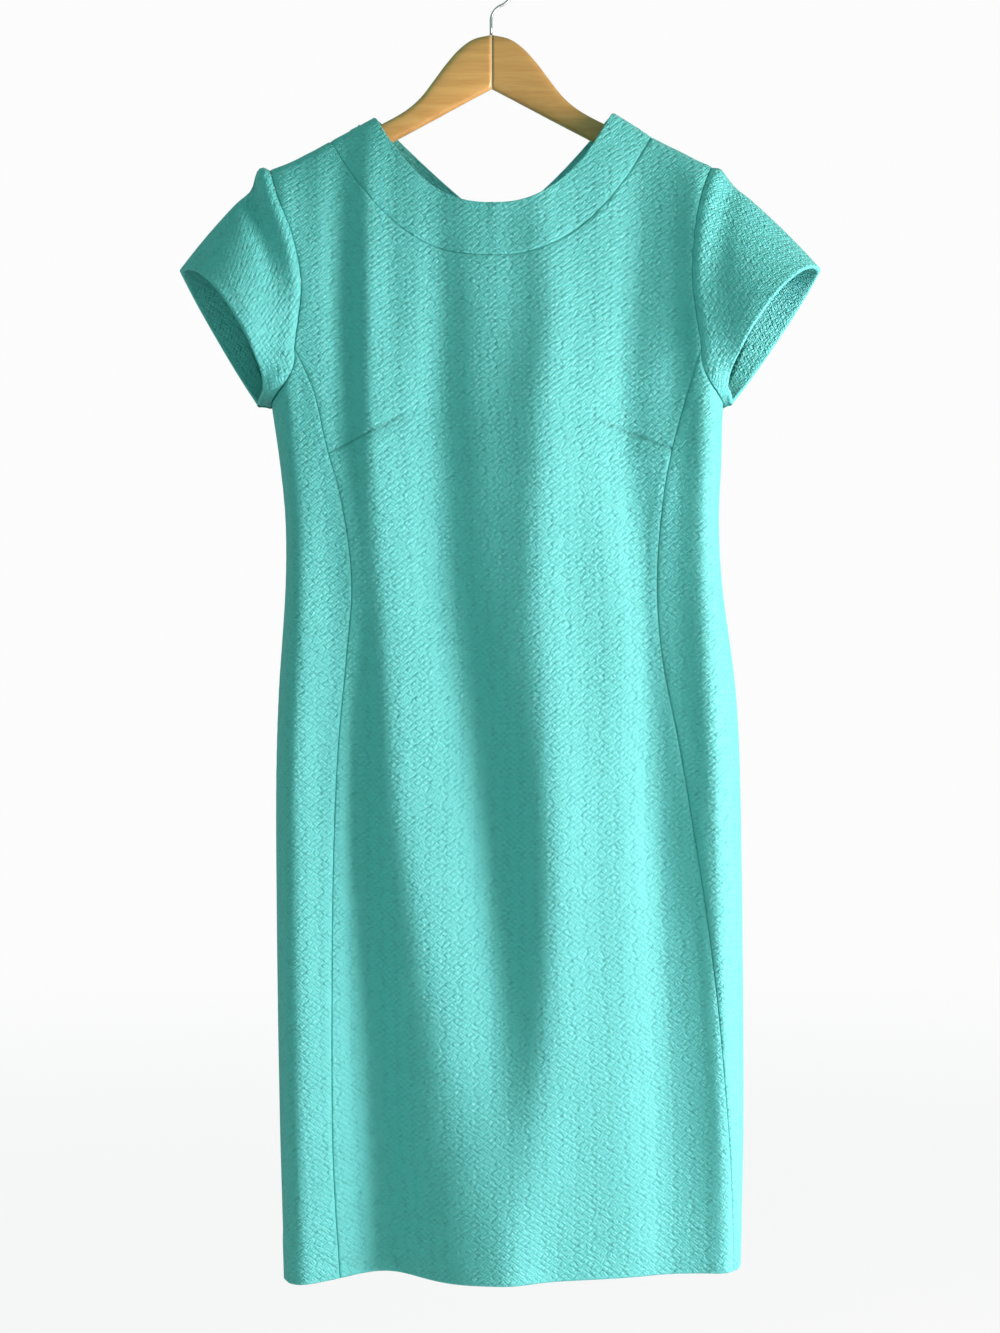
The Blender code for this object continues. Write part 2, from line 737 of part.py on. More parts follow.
def main():
    remove_scene_objects()
    cloth = material("teal_jacquard", TEAL, 0.8)
    wood = material("varnished_beech", BEECH, 0.35)
    steel = material("steel_wire", STEEL, 0.3, 1.0)
    dress(cloth)
    hanger_arm("hanger_arm_right", -1, wood)
    hanger_arm("hanger_arm_left", 1, wood)
    hook(steel)


main()
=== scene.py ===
import math

import bmesh
import bpy
import numpy as np
from mathutils import Matrix, Vector


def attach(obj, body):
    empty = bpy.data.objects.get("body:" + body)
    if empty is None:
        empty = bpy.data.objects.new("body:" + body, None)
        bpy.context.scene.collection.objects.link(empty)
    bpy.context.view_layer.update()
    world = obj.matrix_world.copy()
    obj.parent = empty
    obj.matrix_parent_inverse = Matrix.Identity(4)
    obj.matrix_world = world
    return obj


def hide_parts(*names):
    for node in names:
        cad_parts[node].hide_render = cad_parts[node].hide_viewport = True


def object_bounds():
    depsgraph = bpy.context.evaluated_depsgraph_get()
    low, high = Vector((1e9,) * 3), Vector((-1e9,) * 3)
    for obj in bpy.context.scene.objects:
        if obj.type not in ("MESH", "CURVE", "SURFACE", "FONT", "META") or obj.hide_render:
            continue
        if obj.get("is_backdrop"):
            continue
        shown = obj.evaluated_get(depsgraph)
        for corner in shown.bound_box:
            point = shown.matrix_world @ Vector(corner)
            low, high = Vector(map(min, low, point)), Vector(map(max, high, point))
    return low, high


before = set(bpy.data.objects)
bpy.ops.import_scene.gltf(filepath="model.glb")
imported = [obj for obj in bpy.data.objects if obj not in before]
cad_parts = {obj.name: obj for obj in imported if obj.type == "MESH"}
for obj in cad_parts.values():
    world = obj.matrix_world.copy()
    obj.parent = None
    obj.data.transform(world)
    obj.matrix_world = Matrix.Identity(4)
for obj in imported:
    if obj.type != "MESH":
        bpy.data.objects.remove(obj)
cadLow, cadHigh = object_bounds()
print("frame loaded:", len(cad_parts), "nodes")

mm = 0.001


# short tables are read as smooth curves

def smoothAt(places, values, at):
    order = 1 if places[-1] > places[0] else -1
    places, values = np.asarray(places, float)[::order], np.asarray(values, float)[::order]
    at = np.clip(at, places[0], places[-1])
    k = np.clip(np.searchsorted(places, at, side="right") - 1, 0, len(places) - 2)
    lower = np.maximum(np.arange(len(places)) - 1, 0)
    upper = np.minimum(np.arange(len(places)) + 1, len(places) - 1)
    slopes = (values[upper] - values[lower]) / (places[upper] - places[lower])
    span = places[k + 1] - places[k]
    t = (at - places[k]) / span
    bend = span * (slopes[k] * t * (1 - t) ** 2 - slopes[k + 1] * t * t * (1 - t))
    return values[k] * (1 + 2 * t) * (1 - t) ** 2 + values[k + 1] * t * t * (3 - 2 * t) + bend


def fadeAfter(distance, at, width):
    return 0.5 - 0.5 * np.tanh((distance - at) / (2 * width))


def table(columns, *rows):
    made = {name: np.array([row[i] for row in rows]) * mm for i, name in enumerate(columns)}
    made["first"] = columns[0]
    return made


def readTable(rows, column, at):
    return smoothAt(rows[rows["first"]], rows[column], at)


# the dress's measures, in the frame's own places; "left" and "right" are the viewer's, while pieces and
# folds are named by the wearer's sides

body = {
    "roll": 9 * mm,                 # radius of the cloth over the hanger
    "hem": -1133 * mm,
    "hemTilt": 0.022,
    "hemLift": 4 * mm,
    "hemLiftAt": -105 * mm,
    "hemLiftWidth": 40 * mm,
    "underarm": -389 * mm,
    "armholeJoint": -345 * mm,      # where the princess seam meets the armhole
    "backWider": 5 * mm,
    "armSweep": 16 * mm,            # how far forward the cloth goes at the hanger's tips
    "armLength": 190 * mm,
    "sweepFade": 130 * mm,
    "frontSquareness": 0.28,        # the lower, the flatter across the middle
    "backSquareness": 0.65,
    "fullBelow": 95 * mm,           # how soon under the shoulder the body takes its depth, and its folds
    "foldsBelow": 40 * mm,
}
signs = {"left": -1, "right": 1}

sections = table(
    ("height", "left", "right", "front", "back"),
    (-130, -206, 212, 50, 26),
    (-300, -204, 212, 54, 30),
    (-389, -189, 200, 60, 36),
    (-440, -181, 198, 64, 36),
    (-490, -176, 196, 62, 34),
    (-545, -176, 199, 60, 32),
    (-640, -182, 211, 62, 36),
    (-750, -184, 215, 64, 40),
    (-1000, -181, 217, 64, 40),
    (-1140, -177, 214, 62, 38),
)
shoulders = table(
    ("across", "left", "right"),
    (0, -80, -73),
    (105, -140.5, -133.5),
    (141, -161, -157),
    (165, -174.5, -170),
    (180, -182, -178.6),
    (194, -187.5, -185.4),
    (230, -204, -205),
)
princess = table(
    ("height", "left", "right"),
    (-345, -166, 178),
    (-382, -150, 167),
    (-428, -139, 154),
    (-472, -127, 146),
    (-540, -118, 141),
    (-605, -122, 145),
    (-685, -129, 160),
    (-790, -133, 177),
    (-905, -134, 192),
    (-1030, -133, 203),
    (-1140, -127, 207),
)
armhole = table(
    ("height", "left", "right"),
    (-178, -192, 192),
    (-211, -183, 180),
    (-247, -169, 173),
    (-290, -161, 171),
    (-345, -166, 178),
)
seamTurn = table(
    ("height", "sideLeft", "sideRight", "middleBack"),
    (-389, 0, 0, 0),
    (-545, 3, 3, 2),
    (-750, 8, 8, 5),
    (-1140, 12, 12, 8),
)
turnToRadians = math.radians(1) / mm

neckShift = 2.5 * mm
bandEdgeFront = {"halfWidth": 105 * mm, "bottom": -219 * mm, "powers": (2.4, 2.4), "shift": neckShift}
bandEdgeBack = {"halfWidth": 105 * mm, "bottom": -223 * mm, "powers": (1.12, 1.35), "shift": neckShift}
bandSeamFront = {"halfWidth": 141 * mm, "bottom": -264.5 * mm, "powers": (2.45, 2.45), "shift": 0.0}
bandSeamBack = {"halfWidth": 141 * mm, "bottom": -271 * mm, "powers": (1.35, 1.5), "shift": 0.0}

sleeveEnds = {
    "left": {
        "middle": np.array((-234, -28, -333.5)) * mm,
        "up": np.array((-34, 0, 58.4)) * mm,
        "front": np.array((21, -50, 12)) * mm,
        "back": np.array((-2.5, 46, -1.5)) * mm,
        "puff": 5 * mm,
    },
    "right": {
        "middle": np.array((245, -30, -332.5)) * mm,
        "up": np.array((38.7, 0, 58)) * mm,
        "front": np.array((-19, -49, 13)) * mm,
        "back": np.array((3, 48, -2)) * mm,
        "puff": 2 * mm,
    },
}

# folds: the place across, the width and how far out, at these heights down the cloth
foldHeights = np.array((-230, -310, -410, -545, -740, -900, -1130)) * mm
frontFolds = {
    "right edge": {"across": (-180, -178, -176, -172, -174, -172, -170),
     "width": (15, 15, 16, 20, 22, 24, 24), "out": (9, 12, 15, 20, 22, 22, 20)},
    "right ridge": {"across": (-150, -150, -152, -150, -150, -148, -146),
     "width": (20, 20, 20, 22, 24, 26, 26), "out": (4, 6, 8, 8, 5, 4, 4)},
    "right valley": {"across": (-129, -126, -119, -110, -111, -102, -84),
     "width": (12, 12, 11, 12, 17, 25, 34), "out": (-4, -4, -3, -2, -10, -17, -30)},
    "long ridge": {"across": (-105, -104, -104, -96, -76, -48, -8),
     "width": (13, 14, 17, 21, 25, 28, 34), "out": (5, 7, 7, 7, 8, 6, 3)},
    "long valley": {"across": (-46, -42, -42, -33, -1, 14, 18),
     "width": (16, 19, 23, 26, 26, 24, 20), "out": (-3, -8, -12, -16, -16, -10, 5)},
    "middle ridge": {"across": (42, 50, 43, 40, 50, 47, 6),
     "width": (20, 22, 25, 27, 28, 32, 56), "out": (4, 8, 10, 11, 12, 11, 12)},
    "left valley": {"across": (128, 120, 114, 130, 141, 146, 150),
     "width": (20, 20, 22, 20, 22, 24, 26), "out": (-5, -7, -9, -8, -10, -9, -6)},
    "left ridge": {"across": (180, 184, 187, 185, 193, 198, 202),
     "width": (18, 19, 20, 19, 18, 17, 16), "out": (12, 17, 20, 17, 16, 13, 10)},
}
backFolds = {
    "right back valley": {"across": (-110, -105, -100, -92, -96, -104, -108),
     "width": (22, 24, 26, 28, 30, 32, 34), "out": (0, -2, -4, -7, -8, -9, -10)},
    "right back ridge": {"across": (-60, -56, -50, -46, -50, -52, -50),
     "width": (22, 24, 26, 28, 30, 32, 34), "out": (0, 2, 4, 5, 6, 6, 7)},
    "middle back valley": {"across": (4, 6, 8, 10, 14, 18, 20),
     "width": (20, 22, 24, 26, 26, 28, 28), "out": (0, -3, -5, -8, -6, -5, -4)},
    "left back ridge": {"across": (70, 70, 68, 70, 78, 84, 88),
     "width": (22, 24, 26, 28, 30, 32, 34), "out": (0, 2, 4, 6, 7, 7, 8)},
    "left back valley": {"across": (118, 116, 112, 114, 126, 134, 140),
     "width": (20, 22, 24, 24, 26, 26, 26), "out": (0, -2, -4, -6, -7, -8, -8)},
}


# a place on the cloth is an angle round the body, 0 at the middle of the front, and a height down the cloth

def shoulderLine(x):
    onLeft = readTable(shoulders, "left", np.abs(x))
    onRight = readTable(shoulders, "right", np.abs(x))
    return np.where(x < 0, onLeft, onRight)


def shoulderHeight(x):
    return shoulderLine(x) + body["roll"] * (math.pi / 2 - 1)


def foldOut(folds, x, height):
    out = np.zeros(np.broadcast(x, height).shape)
    for fold in folds.values():
        across, width, depth = (
            smoothAt(foldHeights, fold[key], height) * mm for key in ("across", "width", "out"))
        out += depth * np.exp(-(((x - across) / width) ** 2))
    return out


def clothPoint(angle, height):
    left, right = readTable(sections, "left", height), readTable(sections, "right", height)
    x = (left + right) / 2 + (right - left) / 2 * np.sin(angle)
    facing = np.abs(np.cos(angle))
    toFront = np.cos(angle) >= 0
    below = np.maximum(shoulderHeight(x) - height, 0.0)
    turned = np.minimum(below / body["roll"], math.pi / 2)
    z = shoulderLine(x) - body["roll"] * (1 - np.cos(turned))
    z = z - np.maximum(below - body["roll"] * math.pi / 2, 0.0)
    above = np.maximum(0.0, height - body["underarm"])
    overHanger = body["roll"] * np.sin(turned) * np.minimum(1.0, above / (120 * mm) + facing)
    stand = np.where(toFront, readTable(sections, "front", height), readTable(sections, "back", height))
    squareness = np.where(toFront, body["frontSquareness"], body["backSquareness"])
    depth = stand * facing**squareness * (1 - np.exp(-below / body["fullBelow"]))
    settled = (1 - np.exp(-below / body["foldsBelow"])) * (1 - (1 - facing) ** 4)
    folds = np.where(toFront, foldOut(frontFolds, x, height), foldOut(backFolds, x, height)) * settled
    sweep = -body["armSweep"] * (x / body["armLength"]) ** 2 * np.exp(-((below / body["sweepFade"]) ** 2))
    out = overHanger * np.minimum(1.0, facing * 6 + above / (60 * mm)) + depth + folds
    y = np.where(toFront, sweep - out, sweep + out)
    return np.stack((x, y, z), axis=-1)


def angleAt(x, height, toFront=True):
    left, right = readTable(sections, "left", height), readTable(sections, "right", height)
    share = np.clip((x - (left + right) / 2) / ((right - left) / 2), -1.0, 1.0)
    angle = np.arcsin(share)
    return angle if toFront else np.where(x < 0, -math.pi, math.pi) - angle


# each seam gives angles and heights for shares of its length

def pair(angle, height):
    return np.stack((angle, height + 0 * angle), axis=-1)


def hemHeight(x):
    lift = body["hemLift"] * np.exp(-(((x - body["hemLiftAt"]) / body["hemLiftWidth"]) ** 2))
    return body["hem"] + body["hemTilt"] * x + lift


def princessSeam(side, t):
    bottom = hemHeight(readTable(princess, side, body["hem"]))
    height = bottom + (body["armholeJoint"] - bottom) * t
    return pair(angleAt(readTable(princess, side, height), height), height)


def sideSeam(side, t):
    sign = signs[side]
    bottom = hemHeight(readTable(sections, side, body["hem"]))
    height = bottom + (body["underarm"] - bottom) * t
    column = "sideLeft" if side == "left" else "sideRight"
    return pair(sign * math.pi / 2 + readTable(seamTurn, column, height) * turnToRadians, height)


def middleBackSeam(t):
    height = body["hem"] + (bandSeamBack["bottom"] - body["hem"]) * t
    turn = readTable(seamTurn, "middleBack", height) * turnToRadians
    return pair(math.pi - angleAt(0 * height, height) + turn, height)


def armholeLow(side, toFront, t):
    sign = signs[side]
    joint = body["armholeJoint"]
    x = readTable(armhole, side, joint) + (0 if toFront else sign * body["backWider"])
    start, end = angleAt(x, joint, toFront), sign * math.pi / 2
    swing, fall = 1 - np.cos(t * math.pi / 2), np.sin(t * math.pi / 2)
    return pair(start + (end - start) * swing, joint + (body["underarm"] - joint) * fall)


def armholeTip(side):
    return readTable(armhole, side, armhole["height"][0])


def armholeHigh(side, toFront, t, rollShare):
    # up to the tip of the shoulder; the last share of the steps goes over the hanger
    sign = signs[side]
    joint, tip = body["armholeJoint"], armholeTip(side)
    top = shoulderHeight(tip)
    overRoll = body["roll"] * math.pi / 2
    low = np.minimum(t / (1 - rollShare), 1.0) * (top - overRoll - joint)
    high = np.maximum(t - (1 - rollShare), 0.0) / rollShare * overRoll
    height = joint + low + high
    share = (height - joint) / (top - joint)
    x = readTable(armhole, side, height) + (0 if toFront else sign * body["backWider"] * (1 - share**3))
    x = x + (tip - readTable(armhole, side, top)) * np.clip(share, 0, 1) ** 40
    return pair(angleAt(x, height, toFront), height)


def neckCurve(curve, share, toFront):
    x = curve["shift"] + curve["halfWidth"] * share
    power = np.where(share < 0, curve["powers"][0], curve["powers"][1])
    corner = shoulderHeight(curve["shift"] + np.where(share < 0, -1, 1) * curve["halfWidth"])
    height = curve["bottom"] + (corner - curve["bottom"]) * np.abs(share) ** power
    return x, height


def neckSeam(curve, share, toFront):
    x, height = neckCurve(curve, share, toFront)
    return pair(angleAt(x, height, toFront), height)


def shoulderSeam(side, toFront, t):
    start = signs[side] * bandSeamFront["halfWidth"]
    x = start + (armholeTip(side) - start) * t
    height = shoulderHeight(x)
    return pair(angleAt(x, height, toFront), height)


# grids of places on the cloth

weave = {
    "thickness": 1.1 * mm,
    "seamRoll": 1.3 * mm,       # radius of the cloth where it turns in at a seam
    "hemRoll": 2.0 * mm,
    "allowance": 12 * mm,
    "skirtHem": 38 * mm,
    "sleeveHem": 24 * mm,
    "seamSpace": 0.08 * mm,     # how short of its seams each piece stops
    "bandThickness": 0.85 * mm,
    "bandRoll": 0.95 * mm,
    "bandFacing": 34 * mm,
}
# strips of the frame's cloth between its seams, which the grids count their steps in
strips = {
    "toArmhole": 22,
    "underarm": 4,
    "frontArmhole": 10,
    "backArmhole": 8,
    "shoulder": 4,
    "frontNeck": 16,
    "backNeck": 7,
}
rollShares = (0, 0.06, 0.25, 0.5, 0.78, 1.05)
nearSeam = (2.0 * mm, 3.0 * mm, 4.4 * mm, 6.4 * mm, 9.0 * mm, 12.0 * mm)


def gridSteps(count, fine, stripLength, startRoll, endRoll):
    # places from 0 to count, close together at an end that rolls in
    def endSteps(radius):
        if not radius:
            return [0.0]
        near = [share * radius / stripLength for share in rollShares]
        return near + [d / stripLength for d in nearSeam if radius * 1.3 < d < 0.9 * count * stripLength]
    start, end = endSteps(startRoll), [count - step for step in endSteps(endRoll)][::-1]
    margin = 0.4 / fine
    low, high = start[-1] + margin, end[0] - margin
    middle = [step for step in np.arange(1, count * fine) / fine if low < step < high]
    return np.array(start + middle + end)


def coons(bottom, top, left, right, across, along, hold=1):
    # a grid between four edges; the higher the hold, the closer to the sides their curves stay
    u, v = across[None, :, None], along[:, None, None]
    ends = bottom[None] * (1 - v) + top[None] * v
    return ends + (left[:, None] - ends[:, :1]) * (1 - u) ** hold + (right[:, None] - ends[:, -1:]) * u**hold


def hemEdge(start, end, share):
    angle = start[0] + (end[0] - start[0]) * share
    x = clothPoint(angle, np.full_like(angle, body["hem"]))[..., 0]
    line = pair(angle, hemHeight(x))
    line[0], line[-1] = start, end
    return line


def joined(*parts):
    return np.concatenate(parts)


def finer(steps, start, end, fine):
    # extra steps between two places
    return joined(steps[steps < start], np.arange(start * fine, end * fine) / fine, steps[steps >= end])


def topped(along, rows):
    # the last strip is a short one over the hanger
    return joined(along[along < rows - 1.05], rows - gridSteps(1, 8, 10 * mm, weave["seamRoll"], 0)[::-1])


darts = {
    "left": {"start": (-139.5 * mm, -435.0 * mm), "tip": (-71.3 * mm, -400.8 * mm)},
    "right": {"start": (157.0 * mm, -431.5 * mm), "tip": (84.4 * mm, -403.5 * mm)},
}


def gathered(places, side):
    # draws the grid's rows close together along a dart, so that its stitched line is sharp
    start, tip = darts[side]["start"], darts[side]["tip"]
    way = -signs[side]
    angle, height = places[..., 0], places[..., 1]
    x = clothPoint(angle, height)[..., 0]
    off = height - (start[1] + (x - start[0]) * (tip[1] - start[1]) / (tip[0] - start[0]))
    strength = 0.74 * fadeAfter(way * (x - tip[0]), 10 * mm, 6 * mm)
    moved = height - off * strength * np.exp(-((off / (16 * mm)) ** 2))
    seam = readTable(princess, side, height)
    near = np.exp(-(((x - seam) / (14 * mm)) ** 2))
    shift = angleAt(readTable(princess, side, moved), moved) - angleAt(seam, height)
    return pair(angle + shift * near, moved)


def frontPlaces():
    low, shoulder, neck = strips["toArmhole"], strips["shoulder"], strips["frontNeck"]
    columns, rows = 2 * shoulder + neck, low + strips["frontArmhole"]
    across = gridSteps(columns, 5, 9 * mm, weave["seamRoll"], weave["seamRoll"])
    along = topped(gridSteps(rows, 8, 33 * mm, weave["hemRoll"], 0), rows)
    along = finer(along, 19, 21.5, 22)

    def edge(side):
        high = (along[along > low] - low) / strips["frontArmhole"]
        return joined(princessSeam(side, along[along <= low] / low), armholeHigh(side, True, high, 0.2))
    left, right = edge("left"), edge("right")
    onLeft, onRight = across <= shoulder, across >= shoulder + neck
    t = (across[~onLeft & ~onRight] - shoulder) / neck
    top = joined(
        shoulderSeam("left", True, (shoulder - across[onLeft]) / shoulder),
        neckSeam(bandSeamFront, 0.6 * (2 * t - 1) - 0.4 * np.cos(math.pi * t), True),
        shoulderSeam("right", True, (across[onRight] - (shoulder + neck)) / shoulder),
    )
    # moved so that the grid runs straight down from the neck's corners
    share = across / columns
    share = share - 0.07 * np.sin(2 * math.pi * share)
    places = coons(hemEdge(left[0], right[0], share), top, left, right, share, along / rows, 4)
    return gathered(gathered(places, "left"), "right")


def sideFrontPlaces(side):
    columns, rows = strips["underarm"], strips["toArmhole"]
    across = gridSteps(columns, 6, 14 * mm, weave["seamRoll"], weave["seamRoll"]) / columns
    along = gridSteps(rows, 8, 33 * mm, weave["hemRoll"], weave["seamRoll"]) / rows
    left, right = princessSeam(side, along), sideSeam(side, along)
    bottom, top = hemEdge(left[0], right[0], across), armholeLow(side, True, across)
    return coons(bottom, top, left, right, across, along)


def backPlaces(side):
    low, neck, shoulder = strips["toArmhole"], strips["backNeck"], strips["shoulder"]
    middling = low + strips["underarm"]
    columns, rows = neck + shoulder, middling + strips["backArmhole"]
    across = gridSteps(columns, 6, 18 * mm, weave["seamRoll"], weave["seamRoll"])
    along = topped(gridSteps(rows, 7, 28 * mm, weave["hemRoll"], 0), rows)
    middle = middleBackSeam(along / rows) - ((2 * math.pi, 0) if side == "left" else (0, 0))
    curve = along[(along > low) & (along <= middling)]
    edge = joined(
        sideSeam(side, along[along <= low] / low),
        armholeLow(side, False, 1 - (curve - low) / strips["underarm"]),
        armholeHigh(side, False, (along[along > middling] - middling) / strips["backArmhole"], 0.25),
    )
    t = across[across < neck] / neck
    top = joined(
        neckSeam(bandSeamBack, signs[side] * (0.6 * t + 0.4 * np.sin(math.pi / 2 * t)), False),
        shoulderSeam(side, False, (across[across >= neck] - neck) / shoulder),
    )
    top[0] = middle[-1]
    share = across / columns
    share = share + 0.09 * np.sin(math.pi * share)
    return coons(hemEdge(middle[0], edge[0], share), top, middle, edge, share, along / rows, 3)


def bandPlaces(shares, seam, edge, toFront):
    steps = gridSteps(3, 8, 15 * mm, weave["seamRoll"], weave["bandRoll"]) / 3
    outer, inner = neckCurve(seam, shares, toFront), neckCurve(edge, shares, toFront)
    r = steps[:, None]
    x = outer[0] * (1 - r) + inner[0] * r
    height = outer[1] * (1 - r) + inner[1] * r
    height = height + (shoulderHeight(x) - height) * np.abs(shares) ** 60 * 4 * r * (1 - r)
    return pair(angleAt(x, height, toFront), height)


def frontBandPlaces():
    t = np.linspace(0, 1, 150)
    return bandPlaces(-np.cos(math.pi * t), bandSeamFront, bandEdgeFront, True)


def backBandPlaces(side):
    sign = signs[side]
    t = gridSteps(7, 11, 22 * mm, weave["seamRoll"], 0) / 7
    places = bandPlaces(sign * np.sin(math.pi / 2 * t), bandSeamBack, bandEdgeBack, False)
    places[..., 0] = np.mod(places[..., 0], 2 * math.pi)
    turn = middleBackSeam(np.array([1.0]))[0, 0] - places[:, :1, 0]
    places[..., 0] += turn * np.exp(-((t / 0.1) ** 2))
    return places - ((2 * math.pi, 0) if side == "left" else (0, 0))


def sleevePoints(side):
    # columns go from the underarm up the back, over the shoulder's tip and down the front, and rows from the
    # armhole to the hem
    end = sleeveEnds[side]
    low = gridSteps(strips["underarm"], 7, 10 * mm, weave["seamRoll"], 0) / strips["underarm"]
    high = np.linspace(0, 1, 70)
    behind = joined(armholeLow(side, False, 1 - low), armholeHigh(side, False, high, 0.25)[1:])
    front = joined(armholeHigh(side, True, high[::-1], 0.2)[1:], armholeLow(side, True, (1 - low)[::-1])[1:])
    start = clothPoint(*np.moveaxis(joined(behind, front), -1, 0))
    steps = np.linalg.norm(np.diff(start, axis=0), axis=1)
    run = np.concatenate(([0.0], np.cumsum(steps)))
    tip = len(behind) - 1
    backTurn, frontTurn = 1 + run / run[tip], (run - run[tip]) / (run[-1] - run[tip])
    turn = math.pi * np.where(run <= run[tip], backTurn, frontTurn)
    bulge = np.where((np.arange(len(run)) <= tip)[:, None], end["back"], end["front"])
    finish = end["middle"] + end["up"] * np.cos(turn)[:, None] + bulge * np.abs(np.sin(turn))[:, None]
    over = np.maximum(0.0, np.cos(turn))[None, :, None] ** 2
    puffWay = end["up"] / np.linalg.norm(end["up"]) + (0, 0, 0.6)
    puffWay = puffWay / np.linalg.norm(puffWay)
    v = gridSteps(1, 26, 95 * mm, weave["seamRoll"], weave["hemRoll"])[:, None, None]
    puff = end["puff"] * np.exp(-(((v - 0.12) / 0.12) ** 2)) * np.minimum(v / 0.05, 1.0)
    crown = 3 * mm * 4 * v * (1 - v)
    points = start[None] * (1 - v) + finish[None] * v + puffWay * (puff + crown) * over
    return points, tip


print("measures ready")


# cloth meshes

def gridNormals(points, inside):
    normals = np.cross(np.gradient(points, axis=1), np.gradient(points, axis=0))
    normals /= np.maximum(np.linalg.norm(normals, axis=-1, keepdims=True), 1e-12)
    outwards = np.sum(normals * (points - inside)) > 0
    return (normals if outwards else -normals), outwards


def runLengths(points, axis):
    steps = np.linalg.norm(np.diff(points, axis=axis), axis=-1)
    start = np.zeros_like(np.take(steps, [0], axis=axis))
    return np.concatenate((start, np.cumsum(steps, axis=axis)), axis=axis)


def edgeDistances(points):
    up, across = runLengths(points, 0), runLengths(points, 1)
    return {"bottom": up, "top": up[-1:] - up, "left": across, "right": across[:, -1:] - across}


def rollDepth(distance, radius):
    inside = np.clip(1 - distance / radius, 0, 1)
    return radius * (1 - np.sqrt(1 - inside**2))


def fromEdge(array, edge):
    # the grid's lines, ordered from that edge inwards
    return {"bottom": array, "top": array[::-1], "left": np.swapaxes(array, 0, 1),
            "right": np.swapaxes(array, 0, 1)[::-1]}[edge]


def turnedIn(lines, normals, uvs, radius, reach):
    # the cloth past an edge: the rest of its bend, then the flat allowance under the piece
    distance = runLengths(lines, 0).mean(axis=1)
    first = int(np.argmax(distance >= radius * 0.95))
    inwards = lines[first] - lines[0]
    inwards /= np.maximum(np.linalg.norm(inwards, axis=-1, keepdims=True), 1e-12)
    made, madeUvs = [], []
    for degrees in (35, 65):
        turn = math.radians(degrees)
        under, back = radius * (1 + math.sin(turn)), radius * (1 - math.cos(turn))
        made.append(lines[0] - normals[0] * under + inwards * back)
        madeUvs.append(uvs[0])
    for k in range(first, len(lines)):
        if distance[k] > reach:
            break
        made.append(lines[k] - normals[k] * 2 * radius)
        madeUvs.append(uvs[k])
    return np.array(made), np.array(madeUvs)


def seamSpace(points, distances, edges):
    # how each piece draws back from its seams
    moved = np.zeros_like(points)
    steps = {"left": (1, 1), "right": (1, -1), "bottom": (0, 1), "top": (0, -1)}
    for edge in edges:
        axis, sign = steps[edge]
        way = np.gradient(points, axis=axis) * sign
        way /= np.maximum(np.linalg.norm(way, axis=-1, keepdims=True), 1e-12)
        moved += way * (weave["seamSpace"] * np.clip(1 - distances[edge] / (4 * mm), 0, 1))[..., None]
    return moved


def linked(name, data):
    thing = bpy.data.objects.new(name, data)
    bpy.context.scene.collection.objects.link(thing)
    return thing


def meshObject(name, vertices, faces, faceUvs=None):
    mesh = bpy.data.meshes.new(name)
    mesh.from_pydata(np.asarray(vertices).tolist(), [], [list(map(int, face)) for face in faces])
    if faceUvs is not None:
        layer = mesh.uv_layers.new(name="weave")
        layer.data.foreach_set("uv", np.asarray(faceUvs, np.float32).ravel())
    mesh.shade_smooth()
    return linked(name, mesh)


hemEdges = {}       # the inner edge of each piece's hem, for its stitches


def clothObject(name, points, uvs, inside, edges, relief, thickness=weave["thickness"], sewn=None):
    # edges: which, roll radius, how far the allowance reaches, and where along the edge it is kept
    normals, outwards = gridNormals(points, inside)
    distances = edgeDistances(points)
    depth = np.zeros(points.shape[:2])
    for edge, radius, reach, kept in edges:
        depth = np.maximum(depth, rollDepth(distances[edge], radius))
    raised = points + normals * relief[..., None]
    raised = raised + seamSpace(points, distances, [edge for edge, *rest in edges])
    rolled = raised - normals * depth[..., None]
    vertices, vertexUvs = [rolled.reshape(-1, 3)], [uvs.reshape(-1, 2)]
    count = rolled.shape[0] * rolled.shape[1]
    mainIndex = np.arange(count).reshape(rolled.shape[:2])
    grids = [mainIndex]
    for edge, radius, reach, kept in edges:
        if not reach or kept.sum() < 2:
            continue
        lines, lineNormals, lineUvs = (fromEdge(array, edge)[:, kept] for array in (raised, normals, uvs))
        turned, turnedUvs = turnedIn(lines, lineNormals, lineUvs, radius, reach)
        index = count + np.arange(turned.shape[0] * turned.shape[1]).reshape(turned.shape[:2])
        count += index.size
        vertices.append(turned.reshape(-1, 3))
        vertexUvs.append(turnedUvs.reshape(-1, 2))
        if reach in (weave["skirtHem"], weave["sleeveHem"]):
            hemEdges[name] = turned[-1]
        index = np.concatenate((fromEdge(mainIndex, edge)[0][kept][None], index))
        grids.append({"bottom": index[::-1], "top": index, "left": index[::-1].T, "right": index.T}[edge])
    quads = []
    for index in grids:
        corners = (index[:-1, :-1], index[:-1, 1:], index[1:, 1:], index[1:, :-1])
        quads.append(np.stack(corners if outwards else corners[::-1], axis=-1).reshape(-1, 4))
    vertices, vertexUvs, quads = joined(*vertices), joined(*vertexUvs), joined(*quads)
    thing = meshObject(name, vertices, quads, vertexUvs[quads.reshape(-1)])
    # the darts' stitched lines, which the material darkens as painted shade
    dartShade = np.zeros(len(vertices), np.float32)
    if sewn is not None:
        dartShade[:sewn.size] = sewn.ravel()
    thing.data.attributes.new("sewn", "FLOAT", "POINT").data.foreach_set("value", dartShade)
    area = sum(face.area for face in thing.data.polygons)
    wall = thing.modifiers.new("wall", "SOLIDIFY")
    wall.thickness, wall.offset, wall.use_even_offset = thickness, -1, False
    wall.material_offset = 1
    print(name, "cloth", round(area, 4), "m2,", len(quads) * 4, "triangles")
    return thing


